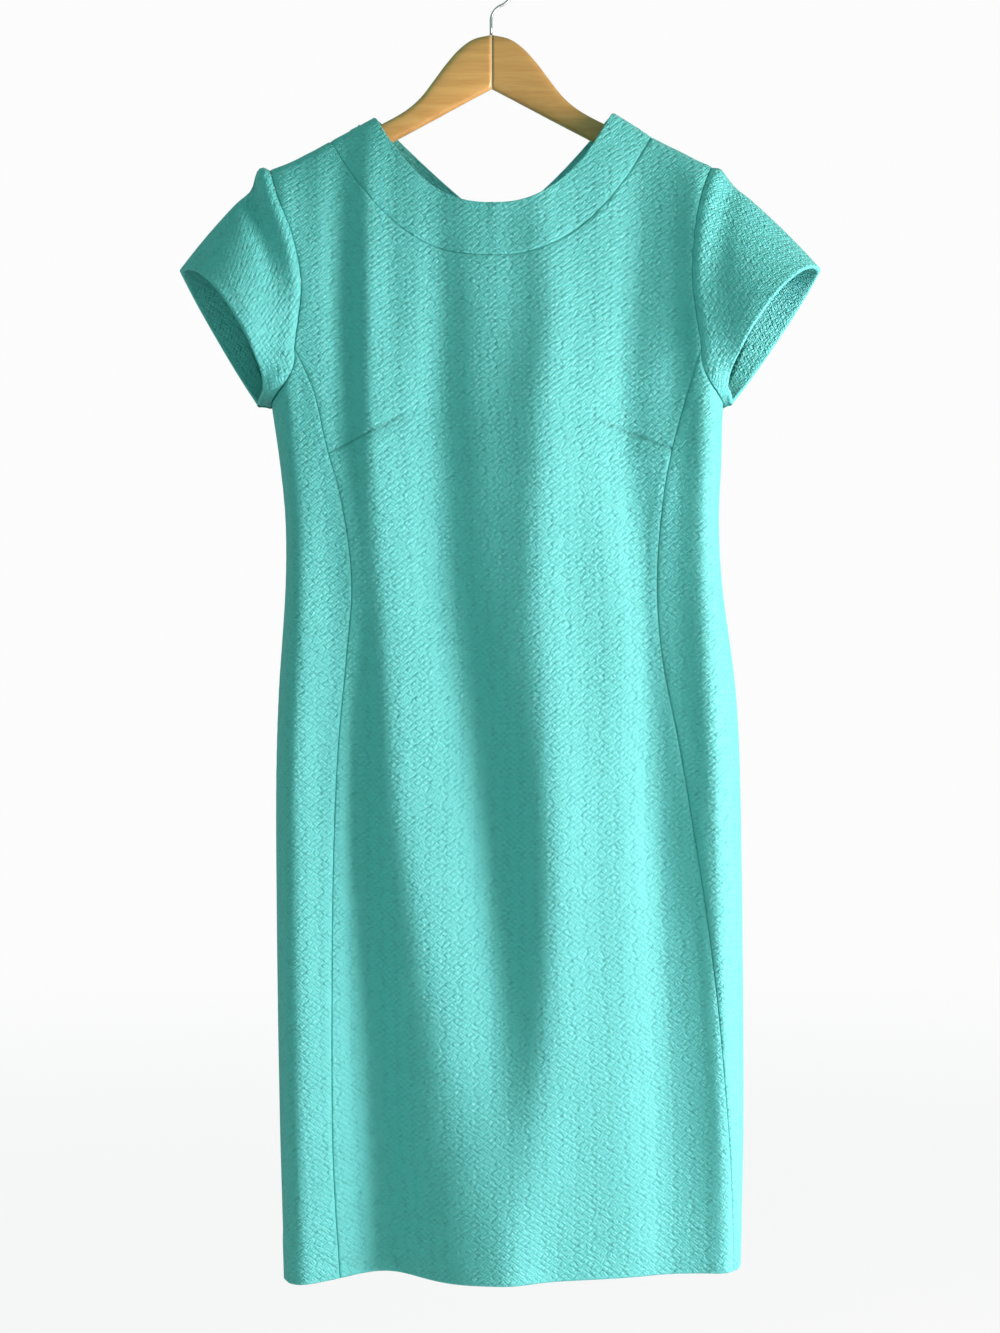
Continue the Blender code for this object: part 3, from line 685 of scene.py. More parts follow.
# how far it is round the cloth from the middle of the front or the back, for the weave to follow
runAngles = np.linspace(-math.pi / 2 - 0.3, math.pi / 2 + 0.3, 801)
runHeights = np.linspace(-1142, -120, 160) * mm


def runTable(middle):
    angle, height = np.meshgrid(runAngles + middle, runHeights)
    run = runLengths(clothPoint(angle, height), 1)
    middleColumn = len(runAngles) // 2
    return run - run[:, middleColumn:middleColumn + 1]


runTables = {"front": runTable(0.0), "back": runTable(math.pi)}


def weaveAt(places, part):
    angle, height = places[..., 0], places[..., 1]
    if part == "back":
        angle = np.mod(angle, 2 * math.pi) - math.pi
    a = np.clip((angle - runAngles[0]) / (runAngles[1] - runAngles[0]), 0, len(runAngles) - 1.001)
    h = np.clip((height - runHeights[0]) / (runHeights[1] - runHeights[0]), 0, len(runHeights) - 1.001)
    i, j = h.astype(int), a.astype(int)
    h, a, run = h - i, a - j, runTables[part]
    below, above = (run[row, j] * (1 - a) + run[row, j + 1] * a for row in (i, i + 1))
    return np.stack((below * (1 - h) + above * h, height), axis=-1)


unevenness = (
    {"wide": 9 * mm, "tall": 160 * mm, "sway": 1.4, "start": 0.4, "out": 0.22 * mm},
    {"wide": 15 * mm, "tall": 230 * mm, "sway": 1.2, "start": 2.1, "out": 0.40 * mm},
    {"wide": 26 * mm, "tall": 300 * mm, "sway": 1.0, "start": 4.4, "out": 0.60 * mm},
)


def hangUnevenly(uvs):
    out = np.zeros(uvs.shape[:2])
    for wave in unevenness:
        sway = wave["sway"] * np.sin(uvs[..., 1] / wave["tall"] * 2 * math.pi + wave["start"])
        drift = uvs[..., 1] / (wave["tall"] * 0.6) + uvs[..., 0] / (70 * mm)
        strength = 0.6 + 0.4 * np.sin(drift + wave["start"])
        out += wave["out"] * strength * np.sin(uvs[..., 0] / wave["wide"] + sway + wave["start"])
    return out


stitching = {
    "pucker": 0.22 * mm,
    "puckerLength": 15 * mm,
    "fade": 7 * mm,
    "dip": 0.5 * mm,
    "dipWidth": 3.0 * mm,
    "allowanceLift": 0.35 * mm,
    "hemLift": 0.5 * mm,
}


def seamRelief(distance, run, seed, lift=1.0):
    slow = 0.55 + 0.45 * np.sin(run / (34 * mm) + seed)
    sway = 1.6 * np.sin(run / (21 * mm) + 2 * seed)
    wave = np.sin(run / stitching["puckerLength"] * 2 * math.pi + sway + seed)
    pucker = stitching["pucker"] * slow * wave * np.exp(-((distance / stitching["fade"]) ** 2))
    dip = -stitching["dip"] * np.exp(-((distance / stitching["dipWidth"]) ** 2))
    raised = stitching["allowanceLift"] * lift * fadeAfter(distance, weave["allowance"], 1.2 * mm)
    return pucker + dip + raised


def clothInside(points):
    return points * (0.35, 0, 1)


hemKeep = 2.3 * weave["hemRoll"]


def bodyPiece(name, places, part, seams, relief=None):
    # seams: edge, seed of its puckers, allowance or none, and how high up the allowance goes
    points = clothPoint(places[..., 0], places[..., 1])
    uvs = weaveAt(places, part)
    distances = edgeDistances(points)
    facing = np.minimum(1.0, np.abs(np.cos(places[..., 0])) * 2.5)
    out = hangUnevenly(uvs) * facing * np.clip(-(points[..., 2] + 0.17) / 0.06, 0.15, 1)
    edges = []
    for edge, seed, reach, highest in seams:
        run = points[..., 2] if edge in ("left", "right") else points[..., 0]
        out += seamRelief(distances[edge], run, seed, 1.0 if reach else 0.0)
        line = fromEdge(points, edge)[0]
        kept = (fromEdge(distances["bottom"], edge)[0] > hemKeep) & (line[:, 2] < highest)
        edges.append((edge, weave["seamRoll"], reach, kept))
    sewn = np.zeros(out.shape)
    if relief:
        added, sewn = relief(points)
        out += added
    hemLift = stitching["hemLift"] * fadeAfter(distances["bottom"], weave["skirtHem"], 1.5 * mm)
    edges.append(("bottom", weave["hemRoll"], weave["skirtHem"], np.ones(points.shape[1], bool)))
    return clothObject(name, points, uvs, clothInside(points), edges, out + hemLift, sewn=sewn)


def dartRelief(points):
    # how far the cloth moves, and where the stitched line is, which the material darkens as painted shade in
    # the dart's crease
    out, sewn = np.zeros(points.shape[:2]), np.zeros(points.shape[:2])
    x, z = points[..., 0], points[..., 2]
    for dart in darts.values():
        way = np.subtract(dart["tip"], dart["start"])
        length = np.hypot(*way)
        way = way / length
        along = (x - dart["start"][0]) * way[0] + (z - dart["start"][1]) * way[1]
        off = ((x - dart["start"][0]) * -way[1] + (z - dart["start"][1]) * way[0]) * np.sign(way[0])
        on = fadeAfter(along, length - 4 * mm, 2.5 * mm)
        groove = -1.0 * mm * np.exp(-((off / (0.9 * mm)) ** 2)) - 0.25 * mm * np.exp(-((off / (5 * mm)) ** 2))
        begun = np.clip(0.45 + along / (22 * mm), 0, 1)
        sewn = np.maximum(sewn, on * begun * np.exp(-((off / (0.8 * mm)) ** 2)))
        lift = 0.4 * mm * np.exp(-(((off + 8 * mm) / (6 * mm)) ** 2))
        out += on * (groove + lift)
        dimple = ((along - length) / (7 * mm)) ** 2 + (off / (4 * mm)) ** 2
        out -= 0.5 * mm * np.exp(-dimple)
    return out, sewn


allowance = weave["allowance"]
princessTop, sideTop, middleBackTop = -360 * mm, -400 * mm, -290 * mm     # how high up their allowances go
pieces = {}
pieces["front_centre"] = bodyPiece(
    "frontCentreCloth", frontPlaces(), "front",
    (("left", 1.0, allowance, princessTop), ("right", 2.0, allowance, princessTop), ("top", 5.0, 0, 0)),
    dartRelief)
for side, wearer, seeds in (("left", "right", (1.0, 3.0)), ("right", "left", (2.0, 4.0))):
    sideEdge = ("right", seeds[1], allowance, sideTop)
    pieces["side_front_" + wearer] = bodyPiece(
        "sideFrontCloth" + wearer.capitalize(), sideFrontPlaces(side), "front",
        (("left", seeds[0], allowance, princessTop), sideEdge, ("top", 6.0, 0, 0)))
    pieces["back_" + wearer] = bodyPiece(
        "backCloth" + wearer.capitalize(), backPlaces(side), "back",
        (("left", 7.0, allowance, middleBackTop), sideEdge, ("top", 8.0, 0, 0)))


def bandPiece(name, places, part):
    points = clothPoint(places[..., 0], places[..., 1])
    distances = edgeDistances(points)
    run = runLengths(points, 1)
    out = seamRelief(distances["bottom"], run, 5.0 if part == "front" else 8.0, 0.0)
    out += 0.15 * mm * np.sin(run / (17 * mm)) * np.clip(distances["top"] / (20 * mm), 0, 1)
    whole = np.ones(points.shape[1], bool)
    edges = [
        ("left", 1.0 * mm, 0, None),
        ("right", 1.0 * mm, 0, None),
        ("bottom", weave["seamRoll"], 0, None),
        ("top", weave["bandRoll"], weave["bandFacing"], whole),
    ]
    uvs = weaveAt(places, part)
    return clothObject(name, points, uvs, clothInside(points), edges, out, weave["bandThickness"])


pieces["neckband_front"] = bandPiece("neckbandFrontCloth", frontBandPlaces(), "front")
pieces["neckband_back_right"] = bandPiece("neckbandBackClothRight", backBandPlaces("left"), "back")
pieces["neckband_back_left"] = bandPiece("neckbandBackClothLeft", backBandPlaces("right"), "back")

# a roll beside the armhole, a trough next to it and a swell lower down
sleeveFolds = {
    "roll": {"out": 3.4 * mm, "at": 7 * mm, "width": 6 * mm},
    "trough": {"out": 6.0 * mm, "at": 25 * mm, "width": 10 * mm},
    "swell": {"out": 5.0 * mm, "at": 56 * mm, "width": 17 * mm},
}


def sleevePiece(name, side, seed, share):
    points, tip = sleevePoints(side)
    distances = edgeDistances(points)
    around = runLengths(points, 1)
    fromTip = (around - around[:, tip:tip + 1]).mean(axis=0) + 0 * around
    uvs = np.stack((fromTip, -distances["bottom"]), axis=-1)
    fromSeam = distances["bottom"]
    front = np.arange(points.shape[1])[None] > tip
    high = np.clip((points[..., 2] + 0.31) / 0.045, 0, 1) * np.where(front, 1.0, 0.55) * share
    roll, trough, swell = (
        fold["out"] * np.exp(-(((fromSeam - fold["at"]) / fold["width"]) ** 2))
        for fold in sleeveFolds.values())
    out = roll * (0.3 + 0.7 * high) - trough * (0.1 + 0.9 * high)
    lower = np.clip(1 - (points[..., 2] + 0.34) / 0.1, 0, 1) * np.clip(distances["top"] / (12 * mm), 0, 1)
    out += swell * lower * front * share
    out += seamRelief(fromSeam, around, seed, 0.0)
    out += hangUnevenly(uvs) * 0.6 * np.clip(fromSeam / (20 * mm), 0, 1)
    whole = np.ones(points.shape[1], bool)
    free = (distances["bottom"][:, 0] > 5 * mm) & (distances["top"][:, 0] > hemKeep)
    edges = [
        ("bottom", weave["seamRoll"], 10 * mm, whole),
        ("top", weave["hemRoll"], weave["sleeveHem"], whole),
        ("left", 1.1 * mm, 9 * mm, free),
        ("right", 1.1 * mm, 9 * mm, free),
    ]
    return clothObject(name, points, uvs, points.mean(axis=1, keepdims=True), edges, out)


pieces["sleeve_right"] = sleevePiece("sleeveClothRight", "left", 9.0, 1.0)
pieces["sleeve_left"] = sleevePiece("sleeveClothLeft", "right", 10.0, 0.35)
print("cloth ready")


# hanger and hook

hanger = {
    "armLength": 190 * mm,
    "armThickness": 12 * mm,
    "sweep": 16 * mm,
    "tilt": math.radians(0.3),
    "mitreGap": 0.3 * mm,
    "stations": 72,
    "sides": 36,
}
armOutline = table(
    ("across", "top", "under"),
    (0, -65, -112),
    (16, -69, -120.5),
    (28, -77.5, -127),
    (40, -91, -133.5),
    (50, -104.5, -139),
    (62, -120, -145.5),
    (76, -132, -153),
    (98, -144.5, -165),
    (120, -156.5, -177),
    (145, -168.5, -189),
    (165, -177.6, -196.5),
    (180, -183.8, -201),
    (190, -188.2, -203),
)


def lofted(name, rings):
    # a closed skin over rings of points, with a flat face at each end
    rings = np.asarray(rings)
    stations, sides = rings.shape[:2]
    faces = []
    for i in range(stations - 1):
        for k in range(sides):
            n = (k + 1) % sides
            faces.append((i * sides + k, i * sides + n, (i + 1) * sides + n, (i + 1) * sides + k))
    faces.append(tuple(range(sides))[::-1])
    faces.append(tuple(range((stations - 1) * sides, stations * sides)))
    thing = meshObject(name, rings.reshape(-1, 3), faces)
    skin = bmesh.new()
    skin.from_mesh(thing.data)
    bmesh.ops.recalc_face_normals(skin, faces=skin.faces)
    skin.to_mesh(thing.data)
    skin.free()
    return thing


def hangerArm(name, sign):
    along = np.linspace(0, 1, hanger["stations"])
    along = joined(along[:-1], 1 - 0.012 * (1 - np.linspace(0, 1, 7)[1:]) ** 2)
    start = hanger["mitreGap"] / 2
    across = start + (hanger["armLength"] - start) * along
    top, under = readTable(armOutline, "top", across), readTable(armOutline, "under", across)
    fromTip = np.clip(1 - (1 - along) / 0.06, 0, 1)
    slim = np.sqrt(np.maximum(0.08, 1 - fromTip**2))
    turn = 2 * math.pi * (np.arange(hanger["sides"]) + 0.5) / hanger["sides"]
    side = np.sign(np.cos(turn)) * np.abs(np.cos(turn)) ** 0.6 * (hanger["armThickness"] / 2 - 0.05 * mm)
    up = np.sign(np.sin(turn)) * np.abs(np.sin(turn)) ** 0.75
    y = -hanger["sweep"] * (across / hanger["armLength"]) ** 2
    rings = np.zeros((len(along), len(turn), 3))
    rings[..., 0] = (sign * across)[:, None]
    rings[..., 1] = y[:, None] + side[None] * slim[:, None]
    rings[..., 2] = ((top + under) / 2)[:, None] + up[None] * ((top - under) / 2 * slim - 0.05 * mm)[:, None]
    tilt = np.array(Matrix.Rotation(-hanger["tilt"], 3, "Y"))
    return lofted(name, rings @ tilt.T)


hook = {
    "wire": 2.4 * mm,
    "loop": 21.2 * mm,
    "bend": 14 * mm,
    "endAngle": math.radians(205),
    "foot": -64.7 * mm,
    "sides": 20,
}


def hookWire():
    centre = np.array((0, 0, -(hook["loop"] - hook["wire"] / 2)))
    lean = math.acos(hook["bend"] / (hook["loop"] + hook["bend"]))
    join = centre + hook["loop"] * np.array((math.cos(lean), 0, -math.sin(lean)))
    bendStart = join[2] - hook["bend"] * math.sin(lean)
    path = [(0, 0, hook["foot"]), (0, 0, (hook["foot"] + bendStart) / 2)]
    for turn in np.linspace(0, lean, 20)[:-1]:
        path.append((hook["bend"] * (1 - math.cos(turn)), 0, bendStart + hook["bend"] * math.sin(turn)))
    for turn in np.linspace(-lean, hook["endAngle"], 90):
        path.append(centre + hook["loop"] * np.array((math.cos(turn), 0, math.sin(turn))))
    path = np.array(path, float)
    way = np.gradient(path, axis=0)
    way /= np.linalg.norm(way, axis=1, keepdims=True)
    across = np.stack((way[:, 2], 0 * way[:, 0], -way[:, 0]), axis=1)
    turn = 2 * math.pi * np.arange(hook["sides"]) / hook["sides"]
    radius = np.full(len(path), hook["wire"] / 2)
    radius[-2:] *= (0.92, 0.6)
    ring = np.cos(turn)[None, :, None] * across[:, None] + np.sin(turn)[None, :, None] * np.array((0, 1.0, 0))
    return lofted("hookWire", path[:, None] + ring * radius[:, None, None])


pieces["hanger_arm_right"] = hangerArm("hangerArmRight", -1)
pieces["hanger_arm_left"] = hangerArm("hangerArmLeft", 1)
pieces["hook"] = hookWire()
print("hanger ready")


# helpers for nodes; a value is a number or another node's socket

def put(socket, value):
    if isinstance(value, bpy.types.NodeSocket):
        socket.id_data.links.new(value, socket)
    else:
        socket.default_value = value


def putAll(node, inputs):
    for socket, value in inputs.items():
        put(node.inputs[socket], value)


def addNode(tree, kind, inputs=None, **settings):
    node = tree.nodes.new(kind)
    for setting, value in settings.items():
        setattr(node, setting, value)
    putAll(node, inputs or {})
    return node


def treeOf(*values):
    return next(value.id_data for value in values if isinstance(value, bpy.types.NodeSocket))


def calc(operation, *values):
    return addNode(treeOf(*values), "ShaderNodeMath", dict(enumerate(values)), operation=operation).outputs[0]


def plus(first, second):
    return calc("ADD", first, second)


def minus(first, second):
    return calc("SUBTRACT", first, second)


def times(first, second):
    return calc("MULTIPLY", first, second)


def mapRange(value, low, high, toLow=0.0, toHigh=1.0, kind="LINEAR"):
    ends = {"Value": value, "From Min": low, "From Max": high, "To Min": toLow, "To Max": toHigh}
    return addNode(treeOf(value), "ShaderNodeMapRange", ends, interpolation_type=kind).outputs["Result"]


def smoothRange(value, low, high, toLow=0.0, toHigh=1.0):
    return mapRange(value, low, high, toLow, toHigh, "SMOOTHSTEP")


def noise(vector, scale, detail):
    return addNode(treeOf(vector), "ShaderNodeTexNoise", {"Vector": vector, "Scale": scale, "Detail": detail})


def mixColour(share, first, second):
    mix = addNode(treeOf(share), "ShaderNodeMix", {0: share, 6: first, 7: second}, data_type="RGBA")
    return mix.outputs[2]


def newGroup(name, kind, inputs, outputs):
    tree = bpy.data.node_groups.new(name, kind)
    for way, sockets in (("INPUT", inputs), ("OUTPUT", outputs)):
        for socket, form in sockets.items():
            tree.interface.new_socket(name=socket, in_out=way, socket_type="NodeSocket" + form)
    return tree, tree.nodes.new("NodeGroupInput").outputs, tree.nodes.new("NodeGroupOutput").inputs


def newMaterial(name):
    made = bpy.data.materials.new(name)
    made.use_nodes = True
    return made, made.node_tree, made.node_tree.nodes["Principled BSDF"]


def objectPlace(tree):
    return tree.nodes.new("ShaderNodeTexCoord").outputs["Object"]


jacquard = {
    "repeatAcross": 28.5 * mm,
    "repeatDown": 20.0 * mm,
    "blocks": 4,                # in each repeat, along each of its two slanting ways
    "blockHeights": (0.2, 1.6),
    "strandPitch": 2.0 * mm,
    "strandPower": 1.1,
    "zigzag": 3.0 * mm,         # how far the furrows sway
    "furrowWidth": 2.2 * mm,
    "waver": ((90.0, 2.0 * mm), (330.0, 1.6 * mm)),     # scale of a noise, and how far it moves the pattern
    "slubScale": 420.0,
    "spots": {                  # place across and down from the middle of a repeat, and half the size
        "pit": (0.0, 0.0, 2.1 * mm, 1.7 * mm),
        "bump": (2.6 * mm, 0.3 * mm, 1.3 * mm, 1.1 * mm),
        "blister": (-3.6 * mm, 3.9 * mm, 2.2 * mm, 1.2 * mm),
    },
    "relief": 1.05 * mm,
    "heights": {"puff": 0.62, "strand": 0.42, "furrow": -0.26, "pit": -0.45, "bump": 0.30, "blister": 0.25,
                "slub": 0.3},
    "teal": (0.09, 0.61, 0.56, 1.0),
    # tealDeep: painted shade in the weave's pits and furrows
    "tealDeep": (0.045, 0.44, 0.395, 1.0),
    # tealStrandHighlight: painted highlight on the strands' crests
    "tealStrandHighlight": (0.14, 0.68, 0.64, 1.0),
    "tealShade": (0.012, 0.16, 0.14, 1.0),
    "hollowShadeShare": 0.25,
    "strandHighlightShare": 0.35,
    # dartShadeShare: how far the dart lines are darkened as painted shade
    "dartShadeShare": 0.5,
    "surface": {"Roughness": 0.6, "Specular IOR Level": 0.8, "Sheen Weight": 0.25, "Sheen Roughness": 0.35,
                "Sheen Tint": (0.75, 1.0, 1.0, 1.0)},
}


def ribs(value, rate):
    return calc("ABSOLUTE", calc("SINE", times(value, rate)))


def jacquardGroup():
    # puffed blocks of slanting strands between zigzag furrows, with a pit and a small blister in each repeat;
    # besides the height it puts out masks for painted shade in the pits and furrows and for painted highlight
    # on the strands
    tree, given, out = newGroup("jacquardWeave", "ShaderNodeTree", {"Cloth": "Vector"},
                                {"Height": "Float", "Hollow Shade": "Float", "Strand Highlight": "Float"})
    place = given["Cloth"]
    for scale, far in jacquard["waver"]:
        moved = {0: noise(given["Cloth"], scale, 1.0).outputs["Color"], 1: (far, far, 0), 2: place}
        place = addNode(tree, "ShaderNodeVectorMath", moved, operation="MULTIPLY_ADD").outputs[0]
    x, y = addNode(tree, "ShaderNodeSeparateXYZ", {0: place}).outputs[:2]
    u, v = calc("DIVIDE", x, jacquard["repeatAcross"]), calc("DIVIDE", y, jacquard["repeatDown"])
    slants = (plus(u, v), minus(u, v))
    blocks = [calc("FLOOR", times(slant, jacquard["blocks"])) for slant in slants]
    odd = calc("FLOORED_MODULO", plus(*blocks), 2.0)
    strandRate = math.pi / (jacquard["strandPitch"] * math.sqrt(2))
    strands = [ribs(way, strandRate) for way in (plus(x, y), minus(x, y))]
    crossed = addNode(tree, "ShaderNodeMix", {0: odd, 2: strands[0], 3: strands[1]}).outputs[0]
    strand = calc("POWER", crossed, jacquard["strandPower"])
    puff = calc("SQRT", times(*(ribs(slant, jacquard["blocks"] * math.pi) for slant in slants)))
    block = addNode(tree, "ShaderNodeCombineXYZ", {0: blocks[0], 1: blocks[1]}).outputs[0]
    chance = addNode(tree, "ShaderNodeTexWhiteNoise", noise_dimensions="2D")
    put(chance.inputs["Vector"], block)
    puff = times(puff, mapRange(chance.outputs["Value"], 0.0, 1.0, *jacquard["blockHeights"]))
    half = jacquard["repeatAcross"] / 2
    column = times(u, 2.0)
    flip = times(calc("FLOORED_MODULO", calc("ROUND", column), 2.0), 0.5)
    zig = calc("PINGPONG", plus(v, flip), 0.5)
    zig = calc("MULTIPLY_ADD", zig, 4 * jacquard["zigzag"] / half, -jacquard["zigzag"] / half)
    off = plus(column, zig)
    off = calc("ABSOLUTE", minus(off, calc("ROUND", off)))
    furrow = smoothRange(off, 0.0, jacquard["furrowWidth"] / half, 1.0, 0.0)
    near = [minus(slant, calc("ROUND", slant)) for slant in slants]
    across, down = times(plus(*near), half), times(minus(*near), jacquard["repeatDown"] / 2)

    def spot(right, up, wide, tall):
        fromX, fromY = calc("DIVIDE", minus(across, right), wide), calc("DIVIDE", minus(down, up), tall)
        return smoothRange(plus(times(fromX, fromX), times(fromY, fromY)), 0.15, 1.3, 1.0, 0.0)

    parts = {name: spot(*measures) for name, measures in jacquard["spots"].items()}
    parts["slub"] = noise(given["Cloth"], jacquard["slubScale"], 2.0).outputs[0]
    parts.update(puff=puff, strand=strand, furrow=furrow)
    height = 0.0
    for name, share in jacquard["heights"].items():
        height = calc("MULTIPLY_ADD", parts[name], share, height)
    put(out["Height"], times(height, jacquard["relief"]))
    # mask for painted shade: the pits and furrows
    put(out["Hollow Shade"], calc("MAXIMUM", parts["pit"], furrow))
    # mask for painted highlight: the strands' crests
    put(out["Strand Highlight"], strand)
    return tree


weaveGroup = jacquardGroup()


def jacquardMaterial(name, reliefShare, extraHollowShade):
    made, tree, shader = newMaterial(name)
    uv = addNode(tree, "ShaderNodeUVMap", uv_map="weave")
    woven = addNode(tree, "ShaderNodeGroup", node_tree=weaveGroup)
    put(woven.inputs["Cloth"], uv.outputs[0])
    bump = {"Strength": 1.0, "Distance": reliefShare, "Height": woven.outputs["Height"]}
    # painted shade in the pits and furrows, darker still on the inside
    hollowShade = times(woven.outputs["Hollow Shade"], jacquard["hollowShadeShare"] + extraHollowShade)
    colour = mixColour(hollowShade, jacquard["teal"], jacquard["tealDeep"])
    # painted highlight on the strands' crests
    colour = mixColour(times(woven.outputs["Strand Highlight"], jacquard["strandHighlightShare"]), colour, jacquard["tealStrandHighlight"])
    # painted shade along the darts' stitched lines, toward tealShade
    sewn = addNode(tree, "ShaderNodeAttribute", attribute_name="sewn").outputs["Fac"]
    colour = mixColour(times(sewn, jacquard["dartShadeShare"]), colour, jacquard["tealShade"])
    normal = addNode(tree, "ShaderNodeBump", bump).outputs[0]
    putAll(shader, {"Base Color": colour, "Normal": normal, **jacquard["surface"]})
    return made


rightSide = jacquardMaterial("tealJacquard", 1.0, 0.0)
wrongSide = jacquardMaterial("tealJacquardInside", 0.5, 0.2)
for piece in pieces.values():
    if "Cloth" in piece.name:
        piece.data.materials.append(rightSide)
        piece.data.materials.append(wrongSide)

beech = {
    "light": (0.66, 0.41, 0.125),
    "dark": (0.54, 0.30, 0.08),
    "grainLean": math.radians(32),
    "grainStretch": 0.045,
    "fleck": (24.4 * mm, -6.3 * mm, -78.0 * mm),     # a small pale chip in the varnish
    "fleckColour": (0.9, 0.82, 0.68, 1.0),
    "scratch": 0.06 * mm,
    "surface": {"Roughness": 0.3, "Coat Weight": 0.2, "Coat Roughness": 0.22},
}


def beechMaterial(name, sign, shade):
    # grain that runs out along the arm, under a satin varnish
    made, tree, shader = newMaterial(name)
    place = objectPlace(tree)
    lean, stretch = (0, sign * beech["grainLean"], 0), (beech["grainStretch"], 1, 1)
    lie = {"Vector": place, "Rotation": lean, "Scale": stretch}
    grain = addNode(tree, "ShaderNodeMapping", lie).outputs[0]
    broad, fine = noise(grain, 160.0, 3.0).outputs[0], noise(grain, 900.0, 4.0).outputs[0]
    share = smoothRange(plus(times(broad, 0.9), times(fine, 0.5)), 0.45, 0.95)
    # shade scales both grain colours: painted shade for the arm that is turned from the light
    light, dark = ([value * shade for value in beech[tone]] + [1.0] for tone in ("light", "dark"))
    colour = mixColour(share, light, dark)
    if sign > 0:
        away = addNode(tree, "ShaderNodeVectorMath", {0: place, 1: beech["fleck"]}, operation="DISTANCE")
        chip = smoothRange(away.outputs["Value"], 0.5 * mm, 1.1 * mm, 1.0, 0.0)
        colour = mixColour(chip, colour, beech["fleckColour"])
    normal = addNode(tree, "ShaderNodeBump", {"Distance": beech["scratch"], "Height": fine}).outputs[0]
    putAll(shader, {"Base Color": colour, "Normal": normal, **beech["surface"]})
    return made


def steelMaterial():
    made, tree, shader = newMaterial("brightWire")
    marks = noise(objectPlace(tree), 900.0, 3.0).outputs[0]
    roughness = mapRange(marks, 0.3, 0.7, 0.22, 0.36)
    putAll(shader, {"Base Color": (0.62, 0.62, 0.61, 1.0), "Metallic": 1.0, "Roughness": roughness})
    return made


# the left arm's copy is darkened to 0.88 as painted shade
pieces["hanger_arm_right"].data.materials.append(beechMaterial("varnishedBeechUnshaded", -1, 1.0))
pieces["hanger_arm_left"].data.materials.append(beechMaterial("varnishedBeechPaintedShade", 1, 0.88))
pieces["hook"].data.materials.append(steelMaterial())
print("materials ready")

hemStitch = {
    "Spacing": 6 * mm,
    "Length": 3.8 * mm,
    "Thickness": 0.5 * mm,
    "Slant": 0.55,
    "uneven": 0.18,
    "seed": 7,
}


def threadMaterial():
    made, tree, shader = newMaterial("tealThread")
    twist = noise(objectPlace(tree), 2200.0, 1.0).outputs[0]
    putAll(shader, {"Base Color": mixColour(twist, jacquard["tealDeep"], jacquard["teal"]), "Roughness": 0.6})
    return made


def stitchTree(thread):
    # short slanting stitches along a line
    sizes = dict.fromkeys(("Spacing", "Length", "Thickness", "Slant"), "Float")
    tree, given, out = newGroup("hemStitching", "GeometryNodeTree", {"Hem Line": "Geometry", **sizes},
                                {"Stitches": "Geometry"})
    spread = addNode(tree, "GeometryNodeResampleCurve", mode="LENGTH")
    putAll(spread, {"Curve": given["Hem Line"], "Length": given["Spacing"]})
    stitch = addNode(tree, "GeometryNodeMeshUVSphere", {"Segments": 6, "Rings": 4, "Radius": 0.5})
    thick = given["Thickness"]
    size = addNode(tree, "ShaderNodeCombineXYZ", {0: given["Length"], 1: thick, 2: thick})
    tangent = tree.nodes.new("GeometryNodeInputTangent")
    along = addNode(tree, "FunctionNodeAlignRotationToVector", {"Vector": tangent.outputs[0]}, axis="X")
    placed = addNode(tree, "GeometryNodeInstanceOnPoints", {
        "Points": spread.outputs["Curve"], "Instance": stitch.outputs["Mesh"],
        "Rotation": along.outputs["Rotation"], "Scale": size.outputs[0]})
    uneven = {2: -hemStitch["uneven"], 3: hemStitch["uneven"], "Seed": hemStitch["seed"]}
    chance = addNode(tree, "FunctionNodeRandomValue", uneven, data_type="FLOAT")
    turn = addNode(tree, "ShaderNodeCombineXYZ", {1: plus(given["Slant"], chance.outputs[1])})
    lean = {"Instances": placed.outputs[0], "Rotation": turn.outputs[0]}
    leaned = addNode(tree, "GeometryNodeRotateInstances", lean)
    real = addNode(tree, "GeometryNodeRealizeInstances", {0: leaned.outputs[0]})
    finish = addNode(tree, "GeometryNodeSetMaterial", {"Geometry": real.outputs[0], "Material": thread})
    put(out["Stitches"], finish.outputs[0])
    return tree


def stitchesAlong(name, line, tree):
    curve = bpy.data.curves.new(name + "Line", "CURVE")
    curve.dimensions = "3D"
    spline = curve.splines.new("POLY")
    spline.points.add(len(line) - 1)
    spline.points.foreach_set("co", np.concatenate((line, np.ones((len(line), 1))), axis=1).ravel())
    path = linked(name + "Line", curve)
    sewing = path.modifiers.new("sewing", "NODES")
    sewing.node_group = tree
    for socket in tree.interface.items_tree:
        if socket.name in hemStitch and socket.in_out == "INPUT":
            sewing[socket.identifier] = hemStitch[socket.name]
    mesh = bpy.data.meshes.new_from_object(path.evaluated_get(bpy.context.evaluated_depsgraph_get()))
    path.modifiers.clear()
    bpy.data.objects.remove(path)
    mesh.name = name
    mesh.shade_smooth()
    return linked(name, mesh)


hemTree = stitchTree(threadMaterial())
hemStitches = {}
for name, line in hemEdges.items():
    hemStitches[name] = stitchesAlong(name.replace("Cloth", "HemStitches"), line, hemTree)
print("hems stitched:", sum(len(stitches.data.polygons) for stitches in hemStitches.values()), "faces")

# what each sheet was cut to: width and length in metres, and area in square metres
cutSizes = {
    "front_centre": (0.42, 1.03, 0.331),
    "side_front_right": (0.11, 0.83, 0.070),
    "side_front_left": (0.15, 0.83, 0.094),
    "back_right": (0.26, 1.03, 0.228),
    "back_left": (0.27, 1.03, 0.236),
    "sleeve_right": (0.44, 0.154, 0.041),
    "sleeve_left": (0.45, 0.165, 0.042),
    "neckband_front": (0.30, 0.15, 0.027),
    "neckband_back_right": (0.165, 0.16, 0.013),
    "neckband_back_left": (0.165, 0.16, 0.013),
}
for node, piece in pieces.items():
    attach(piece, "root")
    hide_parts(node)
    if node in cutSizes:
        sewn = [hemStitches[piece.name]] if piece.name in hemStitches else []
        for stitches in sewn:
            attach(stitches, "root")

